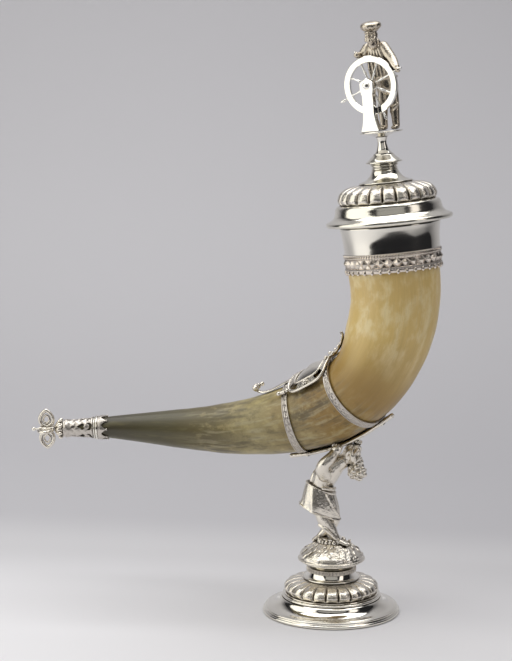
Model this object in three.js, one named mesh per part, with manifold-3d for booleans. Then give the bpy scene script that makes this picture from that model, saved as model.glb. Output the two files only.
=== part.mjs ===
// A mounted drinking horn: a polished cow horn held by straps on a saddle bar, carried by a bearded bearer
// on a round gadrooned foot, with a silver tip mount, a silver mouth mount and a lift-off lid whose finial
// is a helmsman at a ship's wheel.
// Millimetres, +Z up. The origin is the centre of the foot's underside. The horn's tip points
// towards -X and its mouth stands at +X; between them it sways a little out of the XZ plane, as cow horns do.

import * as THREE from "three";
import { mergeVertices } from "three/addons/utils/BufferGeometryUtils.js";
import Module from "manifold-3d";

const { clamp, degToRad, mapLinear } = THREE.MathUtils;

// Fits and sheet
const FIT = 0.3; // gap between pieces that are soldered, screwed or seated together
const LID_CLEARANCE = 0.5; // running gap between the lid's bezel and the mouth
const SHEET = 1.4; // thickness of raised silver sheet

// Foot
const FOOT_RADIUS = 56;
const FOOT_RIM_HEIGHT = 5;
const DISH_HEIGHT = 13;
const DISH_TOP_RADIUS = 40.5;
const CLOSING_PLATE_THICKNESS = 1.5;
const STEP_RING_HEIGHT = 3;
const FOOT_GADROON_RADIUS = 38.8;
const FOOT_GADROON_HEIGHT = 11.2;
const SOCLE_RADIUS = 18.6;
const SOCLE_HEIGHT = 15;
const SOCLE_BEAD_RADIUS = 1;
const SOCLE_BEADS = 22;
const ROCK_RADIUS = 27.8;
const ROCK_HEIGHT = 15.4;
const ROCK_TOP_RADIUS = 11;
const FOOT_LOBES = 22;
const LOBE_DEPTH = 1.7;

// Tie rods and their nuts
const ROD_RADIUS = 2;
const NUT_RADIUS = 4.6;
const NUT_HEIGHT = 3.4;
const WASHER_RADIUS = 27;
const WASHER_THICKNESS = 1.6;
const ROD_TAIL = 2;

// Bearer
const BEARER_HEIGHT = 79.7; // from the top of the rock to the underside of the saddle bar
const BEARER_BASE_RADIUS = 9;
const BEARER_BASE_HEIGHT = 2.4;

// Horn
const TIP_SOCKET = 24; // length inside the tip sleeve
const TIP_SLOPE = 2.2; // degrees that the tip dips
const DROOP_LENGTH = 14; // length over which that dip straightens
const TIP_STRAIGHT = 42;
const RAMP_LENGTH = 200; // length over which the bend tightens
const BEND_RADIUS = 109;
const MOUTH_LEAN = 6.2; // degrees that the mouth leans back towards the tip
const MOUTH_STRAIGHT = 7.3;
const TIP_SWAY = -6; // degrees that the horn heads towards -Y: at its tip, at both straps and at its mouth
const REAR_SWAY = 8.5;
const FRONT_SWAY = 24;
const MOUTH_SWAY = -2.5;
const SWAY_RETURN = 50; // length after the front strap over which the sway goes back
const TIP_RADIUS = 8.2;
const TIP_TAPER = 0.12;
const SPIGOT_RADIUS = 7.6; // the tip is cut down to this inside its mount
const SPIGOT_TAPER = 0.084;
const BODY_RADIUS = 31;
const BODY_TAPER = 0.033;
const BODY_STATION = 175;
const TAPER_BLEND = 1.5;
const HORN_WALL = 3.2;
const HOLLOW_START = 112;
const HOLLOW_ROUNDING = 26;
const CREST_FLAT = 5; // how far the crest is flattened inside the bend
const CREST_FLAT_STATION = 236;
const CREST_FLAT_REACH = 44; // length over which that flat fades, each way

// Saddle, straps and cartouche
const CARRY_STATION = 194; // the station that rests over the bearer's hands
const CARRY_REACH = 14.9; // how far in front of the foot's axis that station is carried
const BAR_THICKNESS = 2;
const BAR_HALF_WIDTH = 5;
const BAR_DROP = 5; // gap between the bar and the horn at the carry station
const BAR_OVERHANG = 8.5;
const BAR_FRONT_OVERHANG = 9;
const SCROLL_RISE = 4.2; // lift of the tip scroll's end, where it rolls up
const REAR_STRAP_STATION = 166.2;
const FRONT_STRAP_STATION = 225.4;
const STRAP_LEAN = -5.7; // degrees that the straps lean from square
const STRAP_WIDTH = 6.2;
const STRAP_THICKNESS = 1.2;
const SCREW_RADIUS = 1.1;
const SCREW_HEAD_RADIUS = 2.2;
const SCREW_HEAD_HEIGHT = 1.3;
const PIN_RADIUS = 1.1;
const PIN_BALL_RADIUS = 1.8;
const PIN_ANGLE = 44; // degrees round the horn from its crest
const PIN_SHIFT = 2; // the pins sit off the strap's middle, towards the tip
const CARTOUCHE_STATION = 200;
const CARTOUCHE_HALF_LENGTH = 26;
const CARTOUCHE_ANGLE = 45; // degrees from the crest to the frame's outer rail
const CARTOUCHE_ROUNDNESS = 0.6; // one is an oval, less is squarer
const INNER_RAIL_SHARE = 0.7;
const RAIL_RADIUS = 1.1;
const PLATE_THICKNESS = 1;
const SCROLL_HALF_WIDTH = 6;
const SCROLL_THICKNESS = 1.5;
const TIP_SCROLL_END = 138.5; // stations where the two scrolls end
const MOUTH_SCROLL_END = 264;
const SCROLL_ROLL_RADIUS = 2.8;

// Tip mount, measured outwards from the crown's edge
const CROWN_HEIGHT = 3;
const CROWN_LEAF_LENGTH = 4;
const CROWN_LEAVES = 8;
const TIP_COLLAR_HEIGHT = 3.6;
const SLEEVE_LENGTH = 25;
const SLEEVE_WALL = 1.2;
const CROWN_WALL = 0.8;
const SLEEVE_HOLES = 6;
const SLEEVE_HOLE_RADIUS = 1.7;
const KNOT_LENGTH = 7.5;
const KNOT_RADIUS = 6.6;
const CROSS_LENGTH = 12;
const CROSS_RADIUS = 16.2;
const CROSS_THICKNESS = 2;
const TIP_BALL_RADIUS = 1.7;

// Mouth mount, measured up the mouth's axis from the lower edge of the bead ring
const MOUNT_THICKNESS = 1.8;
const BEAD_RING_HEIGHT = 4.4;
const FRIEZE_HEIGHT = 7.6;
const DENTIL_RING_HEIGHT = 3.2;
const COLLAR_HEIGHT = 20.4;
const COLLAR_FLARE = 2.1;
const MOUTH_BEADS = 34;

// Lid
const LID_RADIUS = 50.1;
const LID_WALL_RADIUS = 42.4;
const LID_TOP_RADIUS = 39.5;
const FLANGE_HEIGHT = 5.4;
const LID_WALL_HEIGHT = 12.2;
const BEZEL_DEPTH = 7.5;
const LID_GADROON_HEIGHT = 14.2;
const LID_LOBES = 22;
const NECK_RADIUS = 21.3;
const NECK_WAIST_RADIUS = 9.1;
const NECK_HEIGHT = 15.2;
const KNOP_RADIUS = 14.4;
const KNOP_HEIGHT = 7.4;
const STEM_RADIUS = 3.7;
const STEM_HEIGHT = 12.4;
const PLATFORM_RADIUS = 17;
const PLATFORM_HEIGHT = 4.4;

// Helmsman and wheel
const HELMSMAN_HEIGHT = 86;
const HELMSMAN_TURN = -21; // degrees that the group is turned about the lid's axis
const WHEEL_RADIUS = 23;
const WHEEL_RIM = 5;
const WHEEL_THICKNESS = 3;
const WHEEL_CENTRE_HEIGHT = 36;
const WHEEL_OFFSET = -3.9; // sideways from the lid's axis
const WHEEL_SPOKES = 8;
const SPOKE_RADIUS = 0.8;
const SPOKE_PHASE = 22; // degrees from level to the first spoke
const HUB_RADIUS = 4.2;
const HANDLE_LENGTH = 7;
const HANDLE_RADIUS = 1.2;
const AXLE_RADIUS = 1.5;
const PEDESTAL_FRONT = -11;
const PEDESTAL_DEPTH = 6;
const PEDESTAL_BASE_WIDTH = 15.5;
const PEDESTAL_WIDTH = 9;
const PEDESTAL_HEAD_RADIUS = 5.7;

// Facets
const LARGE_SIDES = 30;
const SMALL_SIDES = 16;
const HORN_SIDES = 20;
const HORN_RING_SPACING = 11;

// Materials
const silver = new THREE.MeshStandardMaterial({ color: 0xdcd8d0, roughness: 0.14, metalness: 1 });
const frosted = new THREE.MeshStandardMaterial({ color: 0xc4bcb4, roughness: 0.42, metalness: 1 });
const iron = new THREE.MeshStandardMaterial({ color: 0x8f8c86, roughness: 0.4, metalness: 1 });
const hornShell = new THREE.MeshStandardMaterial({ color: 0x8e7640, roughness: 0.3, metalness: 0 });

const wasm = await Module();
wasm.setup();

// Solids, cuts and joins
function bare(geometry) {
  const copy = geometry.clone();
  copy.deleteAttribute("normal");
  copy.deleteAttribute("uv");
  return mergeVertices(copy, 1e-4);
}

function solidOf(geometry) {
  const merged = bare(geometry);
  const vertProperties = new Float32Array(merged.attributes.position.array);
  const triVerts = new Uint32Array(merged.index.array);
  return new wasm.Manifold(new wasm.Mesh({ numProp: 3, vertProperties, triVerts }));
}

function geometryOf(solid) {
  const mesh = solid.getMesh();
  const geometry = new THREE.BufferGeometry();
  geometry.setAttribute("position", new THREE.BufferAttribute(mesh.vertProperties, 3));
  geometry.setIndex(new THREE.BufferAttribute(mesh.triVerts, 1));
  return geometry;
}

function cut(geometry, ...tools) {
  const left = tools.reduce((solid, tool) => solid.subtract(solidOf(tool)), solidOf(geometry));
  return geometryOf(left);
}

function join(...geometries) {
  const solids = geometries.map(solidOf);
  return geometryOf(solids.reduce((sum, solid) => sum.add(solid)));
}

// A skin through rings of equal length, closed by fans at both ends, or joined end to end as a loop.
function loft(rings, { loop = false, start, end } = {}) {
  const count = rings[0].length;
  const points = rings.flat();
  const faces = [];
  const last = loop ? rings.length : rings.length - 1;
  for (let i = 0; i < last; i += 1) {
    const here = i * count;
    const next = ((i + 1) % rings.length) * count;
    for (let j = 0; j < count; j += 1) {
      const k = (j + 1) % count;
      faces.push(here + j, here + k, next + k, here + j, next + k, next + j);
    }
  }
  if (!loop) {
    const first = points.push(start ?? middle(rings[0])) - 1;
    const final = points.push(end ?? middle(rings.at(-1))) - 1;
    const top = (rings.length - 1) * count;
    for (let j = 0; j < count; j += 1) {
      const k = (j + 1) % count;
      faces.push(first, k, j, final, top + j, top + k);
    }
  }
  return new THREE.BufferGeometry().setFromPoints(points).setIndex(faces);
}

function middle(ring) {
  return ring.reduce((sum, point) => sum.add(point), new THREE.Vector3()).divideScalar(ring.length);
}

// A ring of points round a centre, from two half axes.
function oval(centre, u, v, sides) {
  return Array.from({ length: sides }, (_, j) => {
    const a = (2 * Math.PI * j) / sides;
    return centre.clone().addScaledVector(u, Math.cos(a)).addScaledVector(v, Math.sin(a));
  });
}

// A limb or body with rounded ends. Each stop is [x, y, z, half width along across, half depth].
function sweep(stops, across, { rings = 7, sides = 9, grow = 0 } = {}) {
  const line = new THREE.CatmullRomCurve3(stops.map(([x, y, z]) => new THREE.Vector3(x, y, z)));
  const sizes = new THREE.CatmullRomCurve3(stops.map((stop) => new THREE.Vector3(stop[3], stop[4], 0)));
  const ringAt = (t, scale, push) => {
    const along = line.getTangent(t);
    const u = across.clone().addScaledVector(along, -across.dot(along)).normalize();
    const v = along.clone().cross(u);
    const size = sizes.getPoint(t);
    const dome = Math.min(size.x, size.y) + grow;
    const centre = line.getPoint(t).addScaledVector(along, push * dome);
    u.multiplyScalar((size.x + grow) * scale);
    v.multiplyScalar((size.y + grow) * scale);
    return { ring: oval(centre, u, v, sides), centre };
  };
  const half = Math.SQRT1_2;
  const body = Array.from({ length: rings + 1 }, (_, i) => ringAt(i / rings, 1, 0).ring);
  const all = [ringAt(0, half, -half).ring, ...body, ringAt(1, half, half).ring];
  return loft(all, { start: ringAt(0, 0, -1).centre, end: ringAt(1, 0, 1).centre });
}

// Turned pieces about Z. A profile lists [radius, height] from the bottom outwards and up.
function turned(profile, sides = LARGE_SIDES) {
  const points = profile.map(([r, z]) => new THREE.Vector2(r, z));
  return new THREE.LatheGeometry(points, sides).rotateX(Math.PI / 2);
}

function turnedRing(profile, sides = LARGE_SIDES) {
  return turned([...profile, profile[0]], sides);
}

function smooth(profile, steps) {
  const curve = new THREE.SplineCurve(profile.map(([r, z]) => new THREE.Vector2(r, z)));
  return curve.getPoints(steps).map(({ x, y }) => [x, y]);
}

// The closed profile of a sheet that lies behind an outer profile.
function sheetBehind(profile, thickness) {
  const inner = profile.map(([r, z], i) => {
    const [r0, z0] = profile[Math.max(i - 1, 0)];
    const [r1, z1] = profile[Math.min(i + 1, profile.length - 1)];
    const length = Math.hypot(r1 - r0, z1 - z0);
    return [r - ((z1 - z0) / length) * thickness, z + ((r1 - r0) / length) * thickness];
  });
  return [...profile, ...inner.reverse()];
}

// Moves each point of a turned piece in its own half plane: change(radius, height, angle) gives both anew.
function reshaped(geometry, change) {
  const place = geometry.attributes.position;
  for (let i = 0; i < place.count; i += 1) {
    const angle = Math.atan2(place.getY(i), place.getX(i));
    const radius = Math.hypot(place.getX(i), place.getY(i));
    const [r, z] = change(radius, place.getZ(i), angle);
    place.setXYZ(i, r * Math.cos(angle), r * Math.sin(angle), z);
  }
  return geometry;
}

// Lobes sink between ridges, deepest where the ring is widest.
function gadrooned(profile, lobes, depth, innerRadius, outerRadius) {
  return reshaped(turnedRing(profile, 2 * lobes), (r, z, angle) => {
    const weight = clamp((r - innerRadius) / (outerRadius - innerRadius), 0, 1);
    return [r - (depth * weight * (1 - Math.cos(lobes * angle))) / 2, z];
  });
}

function rod(radius, bottom, top, sides = 12) {
  const height = top - bottom;
  const geometry = new THREE.CylinderGeometry(radius, radius, height, sides);
  return geometry.rotateX(Math.PI / 2).translate(0, 0, bottom + height / 2);
}

function washer(innerRadius, outerRadius, bottom, top, sides = LARGE_SIDES) {
  return turnedRing([[innerRadius, bottom], [outerRadius, bottom], [outerRadius, top], [innerRadius, top]], sides);
}

function hexNut(bottom, top) {
  const bore = (ROD_RADIUS + FIT) / Math.cos(Math.PI / 6);
  return washer(bore, NUT_RADIUS, bottom, top, 6);
}

function add(group, name, geometry, material = silver) {
  const mesh = new THREE.Mesh(geometry, material);
  mesh.name = name;
  group.add(mesh);
}

// Heights of the foot's stack
const STEP_BOTTOM = DISH_HEIGHT + FIT;
const STEP_TOP = STEP_BOTTOM + STEP_RING_HEIGHT;
const GADROON_BOTTOM = STEP_TOP + FIT;
const GADROON_TOP = GADROON_BOTTOM + FOOT_GADROON_HEIGHT;
const SOCLE_BOTTOM = GADROON_TOP + FIT;
const SOCLE_TOP = SOCLE_BOTTOM + SOCLE_HEIGHT;
const ROCK_BOTTOM = SOCLE_TOP + FIT;
const ROCK_TOP = ROCK_BOTTOM + ROCK_HEIGHT;
const ROD_BORE = ROD_RADIUS + FIT;
const RING_SEAT = SOCLE_RADIUS - SHEET; // inner radius shared by the rings that the washer clamps

function footDish() {
  const rim = FOOT_RADIUS;
  const hollow = smooth([[rim - 4, FOOT_RIM_HEIGHT + 0.4], [rim - 9.5, FOOT_RIM_HEIGHT + 2],
    [DISH_TOP_RADIUS + 1.6, DISH_HEIGHT - 2], [DISH_TOP_RADIUS, DISH_HEIGHT]], 4);
  const outside = [[rim - 1.4, 0], [rim, 1.4], [rim, FOOT_RIM_HEIGHT - 2], [rim - 1.8, FOOT_RIM_HEIGHT], ...hollow];
  const seat = [[RING_SEAT, DISH_HEIGHT], [RING_SEAT, DISH_HEIGHT - SHEET]];
  const inside = [[DISH_TOP_RADIUS - SHEET, DISH_HEIGHT - SHEET], [rim - 10.5, FOOT_RIM_HEIGHT + 0.4],
    [rim - 4.6, FOOT_RIM_HEIGHT - 1.4], [rim - 4.6, 0]];
  return turnedRing([...outside, ...seat, ...inside]);
}

function closingPlate() {
  const radius = FOOT_RADIUS - 4.6 - FIT;
  return turned([[0, 0], [radius, 0], [radius, CLOSING_PLATE_THICKNESS], [0, CLOSING_PLATE_THICKNESS]]);
}

function stepRing() {
  const radius = DISH_TOP_RADIUS;
  return turnedRing([[RING_SEAT, STEP_BOTTOM], [radius - 0.6, STEP_BOTTOM], [radius, STEP_BOTTOM + 1],
    [radius - 0.6, STEP_TOP - 0.8], [radius - 2.2, STEP_TOP], [RING_SEAT, STEP_TOP]]);
}

function footGadroonRing() {
  const r = FOOT_GADROON_RADIUS;
  const bulge = smooth([[r - 2.4, GADROON_BOTTOM], [r, GADROON_BOTTOM + 4.2], [r - 2.6, GADROON_BOTTOM + 8],
    [r - 8, GADROON_TOP - 1], [SOCLE_RADIUS + 2.4, GADROON_TOP]], 6);
  const closed = [...bulge, [RING_SEAT, GADROON_TOP], [RING_SEAT, GADROON_BOTTOM]];
  return gadrooned(closed, FOOT_LOBES, LOBE_DEPTH, SOCLE_RADIUS + 4, r);
}

function socle() {
  const r = SOCLE_RADIUS;
  const waist = smooth([[r + 0.4, SOCLE_BOTTOM + 3], [r - 1.4, SOCLE_BOTTOM + SOCLE_HEIGHT / 2],
    [r + 1.6, SOCLE_TOP - 3]], 4);
  return turnedRing([[ROD_BORE, SOCLE_BOTTOM], [r + 4.2, SOCLE_BOTTOM], [r + 4.2, SOCLE_BOTTOM + 1.4],
    [r + 0.4, SOCLE_BOTTOM + 2], ...waist, [r + 5.4, SOCLE_TOP - 1.6], [r + 5.4, SOCLE_TOP],
    [ROD_BORE, SOCLE_TOP]]);
}

function socleBeadRing() {
  const inner = SOCLE_RADIUS + FIT;
  const z = SOCLE_BOTTOM + SOCLE_HEIGHT / 2;
  const outer = inner + 2 * SOCLE_BEAD_RADIUS;
  const profile = [[inner, z - SOCLE_BEAD_RADIUS], [outer, z - SOCLE_BEAD_RADIUS / 2],
    [outer, z + SOCLE_BEAD_RADIUS / 2], [inner, z + SOCLE_BEAD_RADIUS]];
  return gadrooned(profile, SOCLE_BEADS, SOCLE_BEAD_RADIUS / 2, inner, outer);
}

// The lumpy mound. Grown copies cut what stands on it.
function rockMound(grow = 0) {
  const dome = smooth([[ROCK_RADIUS, ROCK_BOTTOM + 2.4], [ROCK_RADIUS - 3, ROCK_BOTTOM + 6.5],
    [ROCK_TOP_RADIUS + 7, ROCK_TOP - 3.4], [ROCK_TOP_RADIUS, ROCK_TOP]], 5);
  const profile = [[ROD_BORE, ROCK_BOTTOM], [ROCK_RADIUS - 1.2, ROCK_BOTTOM], ...dome, [ROD_BORE, ROCK_TOP]];
  const grown = profile.map(([r, z]) => [r === ROD_BORE ? r : r + grow, z === ROCK_TOP ? z + grow : z]);
  return reshaped(turnedRing(grown, SMALL_SIDES), (r, z, angle) => {
    const lump = 0.9 * Math.sin(5 * angle) + 0.7 * Math.sin(3 * angle + 1);
    const height = clamp((z - ROCK_BOTTOM - 2.4) / ROCK_HEIGHT, 0, 1);
    return [r > ROCK_TOP_RADIUS + 1 ? r + lump * Math.sin(Math.PI * height) : r, z];
  });
}

function addFoot(group) {
  const washerTop = DISH_HEIGHT - SHEET - FIT;
  const nutTop = washerTop - WASHER_THICKNESS - FIT;
  const rodBottom = nutTop - NUT_HEIGHT - ROD_TAIL;
  add(group, "foot_dish", footDish());
  add(group, "foot_closing_plate", closingPlate(), iron);
  add(group, "foot_step_ring", stepRing());
  add(group, "foot_gadroon_ring", footGadroonRing());
  add(group, "socle", socle());
  add(group, "socle_bead_ring", socleBeadRing(), frosted);
  add(group, "rock_mound", rockMound(), frosted);
  add(group, "foot_tie_washer", washer(ROD_BORE, WASHER_RADIUS, washerTop - WASHER_THICKNESS, washerTop), iron);
  add(group, "foot_tie_nut", hexNut(nutTop - NUT_HEIGHT, nutTop), iron);
  add(group, "foot_tie_rod", rod(ROD_RADIUS, rodBottom, ROCK_TOP + FIT + BEARER_BASE_HEIGHT), iron);
}

// The horn's centreline, by stations in millimetres from the crown's edge towards the mouth
const ARC_LENGTH = BEND_RADIUS * degToRad(90 + MOUTH_LEAN) - RAMP_LENGTH / 2;
const MOUTH_STATION = TIP_STRAIGHT + RAMP_LENGTH + ARC_LENGTH + MOUTH_STRAIGHT;
const MOUNT_TOP = BEAD_RING_HEIGHT + FRIEZE_HEIGHT + DENTIL_RING_HEIGHT + 3 * FIT + COLLAR_HEIGHT;
const LIP_STATION = MOUTH_STATION + MOUNT_TOP - SHEET - FIT;
const PATH_STEP = 0.5;
const PATH_START = -TIP_SOCKET;

function heading(station) {
  const droop = degToRad(TIP_SLOPE) * clamp(1 - station / DROOP_LENGTH, 0, 1);
  const ramp = clamp(station - TIP_STRAIGHT, 0, RAMP_LENGTH);
  const arc = clamp(station - TIP_STRAIGHT - RAMP_LENGTH, 0, ARC_LENGTH);
  return droop + ramp ** 2 / (2 * RAMP_LENGTH * BEND_RADIUS) + arc / BEND_RADIUS;
}

const SWAY_STOPS = [[0, TIP_SWAY], [REAR_STRAP_STATION, REAR_SWAY], [FRONT_STRAP_STATION, FRONT_SWAY],
  [FRONT_STRAP_STATION + SWAY_RETURN, MOUTH_SWAY]];

function sway(station) {
  const [first, last] = [SWAY_STOPS[0], SWAY_STOPS.at(-1)];
  const s = clamp(station, first[0], last[0]);
  const next = SWAY_STOPS.findIndex(([stop], i) => i > 0 && s <= stop);
  const [from, to] = [SWAY_STOPS[next - 1], SWAY_STOPS[next]];
  return degToRad(mapLinear(s, from[0], to[0], from[1], to[1]));
}

// Three directions at right angles: along the horn, up through its crest, and sideways
function hornDirection(station) {
  const [rise, turn] = [heading(station), sway(station)];
  return new THREE.Vector3(Math.cos(rise) * Math.cos(turn), -Math.sin(turn), Math.sin(rise) * Math.cos(turn));
}

function crestDirection(station) {
  const rise = heading(station);
  return new THREE.Vector3(-Math.sin(rise), 0, Math.cos(rise));
}

function sideDirection(station) {
  return crestDirection(station).cross(hornDirection(station));
}

function tracePath() {
  const points = [new THREE.Vector3()];
  for (let station = PATH_START; station < LIP_STATION; station += PATH_STEP) {
    const step = hornDirection(station + PATH_STEP / 2).multiplyScalar(PATH_STEP);
    points.push(points.at(-1).clone().add(step));
  }
  return points;
}

function hornRadius(station) {
  const s = Math.min(station, MOUTH_STATION);
  const taper = TIP_RADIUS + TIP_TAPER * s;
  const body = BODY_RADIUS + BODY_TAPER * (s - BODY_STATION);
  return (taper + body - Math.hypot(taper - body, TAPER_BLEND)) / 2;
}

const path = tracePath();

function rawCentre(station) {
  const place = (station - PATH_START) / PATH_STEP;
  const index = clamp(Math.floor(place), 0, path.length - 2);
  return path[index].clone().lerp(path[index + 1], place - index);
}

// The bar's underside at the carry station rests at the bearer's reach and height.
const BAR_DEPTH_AT_CARRY = hornRadius(CARRY_STATION) + BAR_DROP + BAR_THICKNESS;
const CARRIED = new THREE.Vector3(CARRY_REACH, 0, ROCK_TOP + BEARER_HEIGHT);
const PATH_SHIFT = CARRIED.clone()
  .addScaledVector(crestDirection(CARRY_STATION), BAR_DEPTH_AT_CARRY)
  .sub(rawCentre(CARRY_STATION));

function hornCentre(station) {
  return rawCentre(station).add(PATH_SHIFT);
}

// A point over the horn's surface. The angle is zero on the crest and negative on the -Y side.
function onHorn(station, angle, lift) {
  const crest = crestDirection(station).multiplyScalar(Math.cos(angle));
  const out = crest.addScaledVector(sideDirection(station), Math.sin(angle));
  return hornCentre(station).addScaledVector(out, hornRadius(station) + lift);
}

function crestFlat(station) {
  const away = clamp(Math.abs(station - CREST_FLAT_STATION) / CREST_FLAT_REACH, 0, 1);
  return (CREST_FLAT * (1 + Math.cos(Math.PI * away))) / 2;
}

function hornRing(station, radius) {
  const [crest, side] = [crestDirection(station), sideDirection(station)];
  return Array.from({ length: HORN_SIDES }, (_, j) => {
    const angle = (-2 * Math.PI * j) / HORN_SIDES;
    const reach = radius - crestFlat(station) * Math.max(Math.cos(angle), 0) ** 2;
    const point = hornCentre(station).addScaledVector(crest, reach * Math.cos(angle));
    return point.addScaledVector(side, reach * Math.sin(angle));
  });
}

function stations(from, to) {
  const count = Math.ceil(Math.abs(to - from) / HORN_RING_SPACING);
  return Array.from({ length: count + 1 }, (_, i) => from + ((to - from) * i) / count);
}

function hollowRadius(station) {
  const rest = clamp(1 - (station - HOLLOW_START) / HOLLOW_ROUNDING, 0, 1);
  const full = hornRadius(station) - HORN_WALL;
  return full * Math.sqrt(1 - rest ** 2);
}

function horn() {
  const spigot = [PATH_START, 0].map((s) => hornRing(s, SPIGOT_RADIUS + SPIGOT_TAPER * s));
  const outer = stations(0, LIP_STATION).map((s) => hornRing(s, hornRadius(s)));
  const end = HOLLOW_START + HOLLOW_ROUNDING / 12;
  const inner = stations(LIP_STATION, end).map((s) => hornRing(s, hollowRadius(s)));
  return loft([...spigot, ...outer, ...inner]);
}

// Bands that follow the horn: sections are [station, angle, lift low, lift high, half width].
const STRAP_LIFT = FIT;
const OVER_STRAP = STRAP_LIFT + STRAP_THICKNESS + FIT;

function strap(station) {
  const steps = 30;
  const lean = Math.tan(degToRad(STRAP_LEAN));
  const half = STRAP_WIDTH / 2;
  const sections = Array.from({ length: steps }, (_, i) => {
    const angle = (2 * Math.PI * i) / steps;
    const s = station - hornRadius(station) * Math.cos(angle) * lean;
    const high = STRAP_LIFT + STRAP_THICKNESS;
    return [onHorn(s - half, angle, high), onHorn(s + half, angle, high),
      onHorn(s + half, angle, STRAP_LIFT), onHorn(s - half, angle, STRAP_LIFT)];
  });
  return loft(sections, { loop: true });
}

function strapCrest(station) {
  return station - hornRadius(station) * Math.tan(degToRad(STRAP_LEAN));
}

function strapFoot(station) {
  return station + hornRadius(station) * Math.tan(degToRad(STRAP_LEAN));
}

// How far the bar's upper face hangs below the horn at each station that shapes it
function barStops() {
  const rear = strapFoot(REAR_STRAP_STATION);
  const front = strapFoot(FRONT_STRAP_STATION);
  return [[rear - BAR_OVERHANG - STRAP_WIDTH / 2, OVER_STRAP], [rear, OVER_STRAP],
    [(rear + CARRY_STATION) / 2, BAR_DROP * 0.9], [CARRY_STATION, BAR_DROP],
    [(front + CARRY_STATION) / 2, BAR_DROP * 0.8], [front, OVER_STRAP],
    [front + BAR_FRONT_OVERHANG, OVER_STRAP + 1]];
}

// The bar, or the space from just under it up into the horn, which keeps hands and head below it.
function saddleBar({ below = 0, above = 0, side = 0 } = {}) {
  const stops = barStops().map(([s, drop]) => new THREE.Vector2(s, drop));
  const curve = new THREE.SplineCurve(stops);
  const half = BAR_HALF_WIDTH + side;
  const sections = curve.getPoints(18).map(({ x: s, y: drop }, i) => {
    const ends = Math.min(i, 18 - i);
    const width = side ? half : half * (0.35 + 0.65 * Math.min(1, ends / 3));
    const low = onHorn(s, Math.PI, drop + BAR_THICKNESS + below);
    const high = onHorn(s, Math.PI, drop - above);
    const across = sideDirection(s).multiplyScalar(width);
    return [low.clone().sub(across), low.clone().add(across), high.clone().add(across), high.clone().sub(across)];
  });
  return loft(sections);
}

// A screw from under the bar up through the strap. A grown copy makes its holes.
function strapScrew(station, grow = 0) {
  const s = strapFoot(station);
  const out = crestDirection(s).negate();
  const up = new THREE.Quaternion().setFromUnitVectors(new THREE.Vector3(0, 0, 1), out);
  const base = hornCentre(s).addScaledVector(out, hornRadius(s));
  const start = STRAP_LIFT - 2 * grow;
  const head = OVER_STRAP + BAR_THICKNESS + FIT - grow;
  const shank = SCREW_RADIUS + grow;
  const top = SCREW_HEAD_RADIUS + grow;
  const profile = [[0, start], [shank, start], [shank, head], [top, head],
    [top, head + SCREW_HEAD_HEIGHT], [0, head + SCREW_HEAD_HEIGHT]];
  return turned(profile, 10).applyQuaternion(up).translate(base.x, base.y, base.z);
}

function strapPin(side) {
  const angle = side * degToRad(PIN_ANGLE);
  const lean = hornRadius(REAR_STRAP_STATION) * Math.cos(angle) * Math.tan(degToRad(STRAP_LEAN));
  const s = REAR_STRAP_STATION - lean - PIN_SHIFT;
  const reach = STRAP_WIDTH / 2 + PIN_BALL_RADIUS;
  const lift = OVER_STRAP + PIN_BALL_RADIUS;
  const stops = [-1, -0.55, 0.55, 1].map((share) => {
    const radius = Math.abs(share) === 1 ? PIN_BALL_RADIUS : PIN_RADIUS;
    return [...onHorn(s + share * reach, angle, lift).toArray(), radius, radius];
  });
  return sweep(stops, new THREE.Vector3(0, 1, 0), { rings: 6, sides: 8 });
}

// The saddle lies straight from strap to strap, over the hollow of the bend.
const SADDLE_ENDS = [-1, 1].map((end) => onHorn(CARTOUCHE_STATION + end * CARTOUCHE_HALF_LENGTH, 0, 0));
const SADDLE_HALF_LENGTH = SADDLE_ENDS[0].distanceTo(SADDLE_ENDS[1]) / 2;
const SADDLE_WAY = SADDLE_ENDS[1].clone().sub(SADDLE_ENDS[0]).normalize();
const SADDLE_UP = SADDLE_WAY.clone().cross(sideDirection(CARTOUCHE_STATION)).normalize();
const SADDLE_SIDE = SADDLE_UP.clone().cross(SADDLE_WAY);
const SADDLE_RADIUS = hornRadius(CARTOUCHE_STATION);
const RAIL_LIFT = OVER_STRAP + RAIL_RADIUS + 3 * FIT;
const SADDLE_AXIS = middle(SADDLE_ENDS).addScaledVector(SADDLE_UP, -SADDLE_RADIUS);

// The cartouche is a rounded oblong on that saddle: size 1 is the frame's outer rail.
function cartoucheEdge(size, turn, lift) {
  const squared = (value) => Math.sign(value) * Math.abs(value) ** CARTOUCHE_ROUNDNESS;
  const angle = degToRad(CARTOUCHE_ANGLE) * size * squared(Math.sin(turn));
  const reach = SADDLE_HALF_LENGTH * size * squared(Math.cos(turn));
  const out = SADDLE_UP.clone().multiplyScalar(Math.cos(angle)).addScaledVector(SADDLE_SIDE, Math.sin(angle));
  return SADDLE_AXIS.clone().addScaledVector(SADDLE_WAY, reach).addScaledVector(out, SADDLE_RADIUS + lift);
}

function cartouchePlate() {
  const steps = 22;
  const rail = (RAIL_RADIUS + FIT) / SADDLE_HALF_LENGTH;
  const rim = INNER_RAIL_SHARE - rail;
  const ring = (size, lift) =>
    Array.from({ length: steps }, (_, i) => cartoucheEdge(size, (2 * Math.PI * i) / steps, lift));
  const low = RAIL_LIFT - PLATE_THICKNESS / 2;
  const high = low + PLATE_THICKNESS;
  const shares = [0.4, 0.75, 1];
  const bottom = shares.map((share) => ring(share * rim, low));
  const top = shares.map((share) => ring(share * rim, high)).reverse();
  const start = cartoucheEdge(0, 0, low);
  const end = cartoucheEdge(0, 0, high);
  return loft([...bottom, ...top], { start, end });
}

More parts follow.
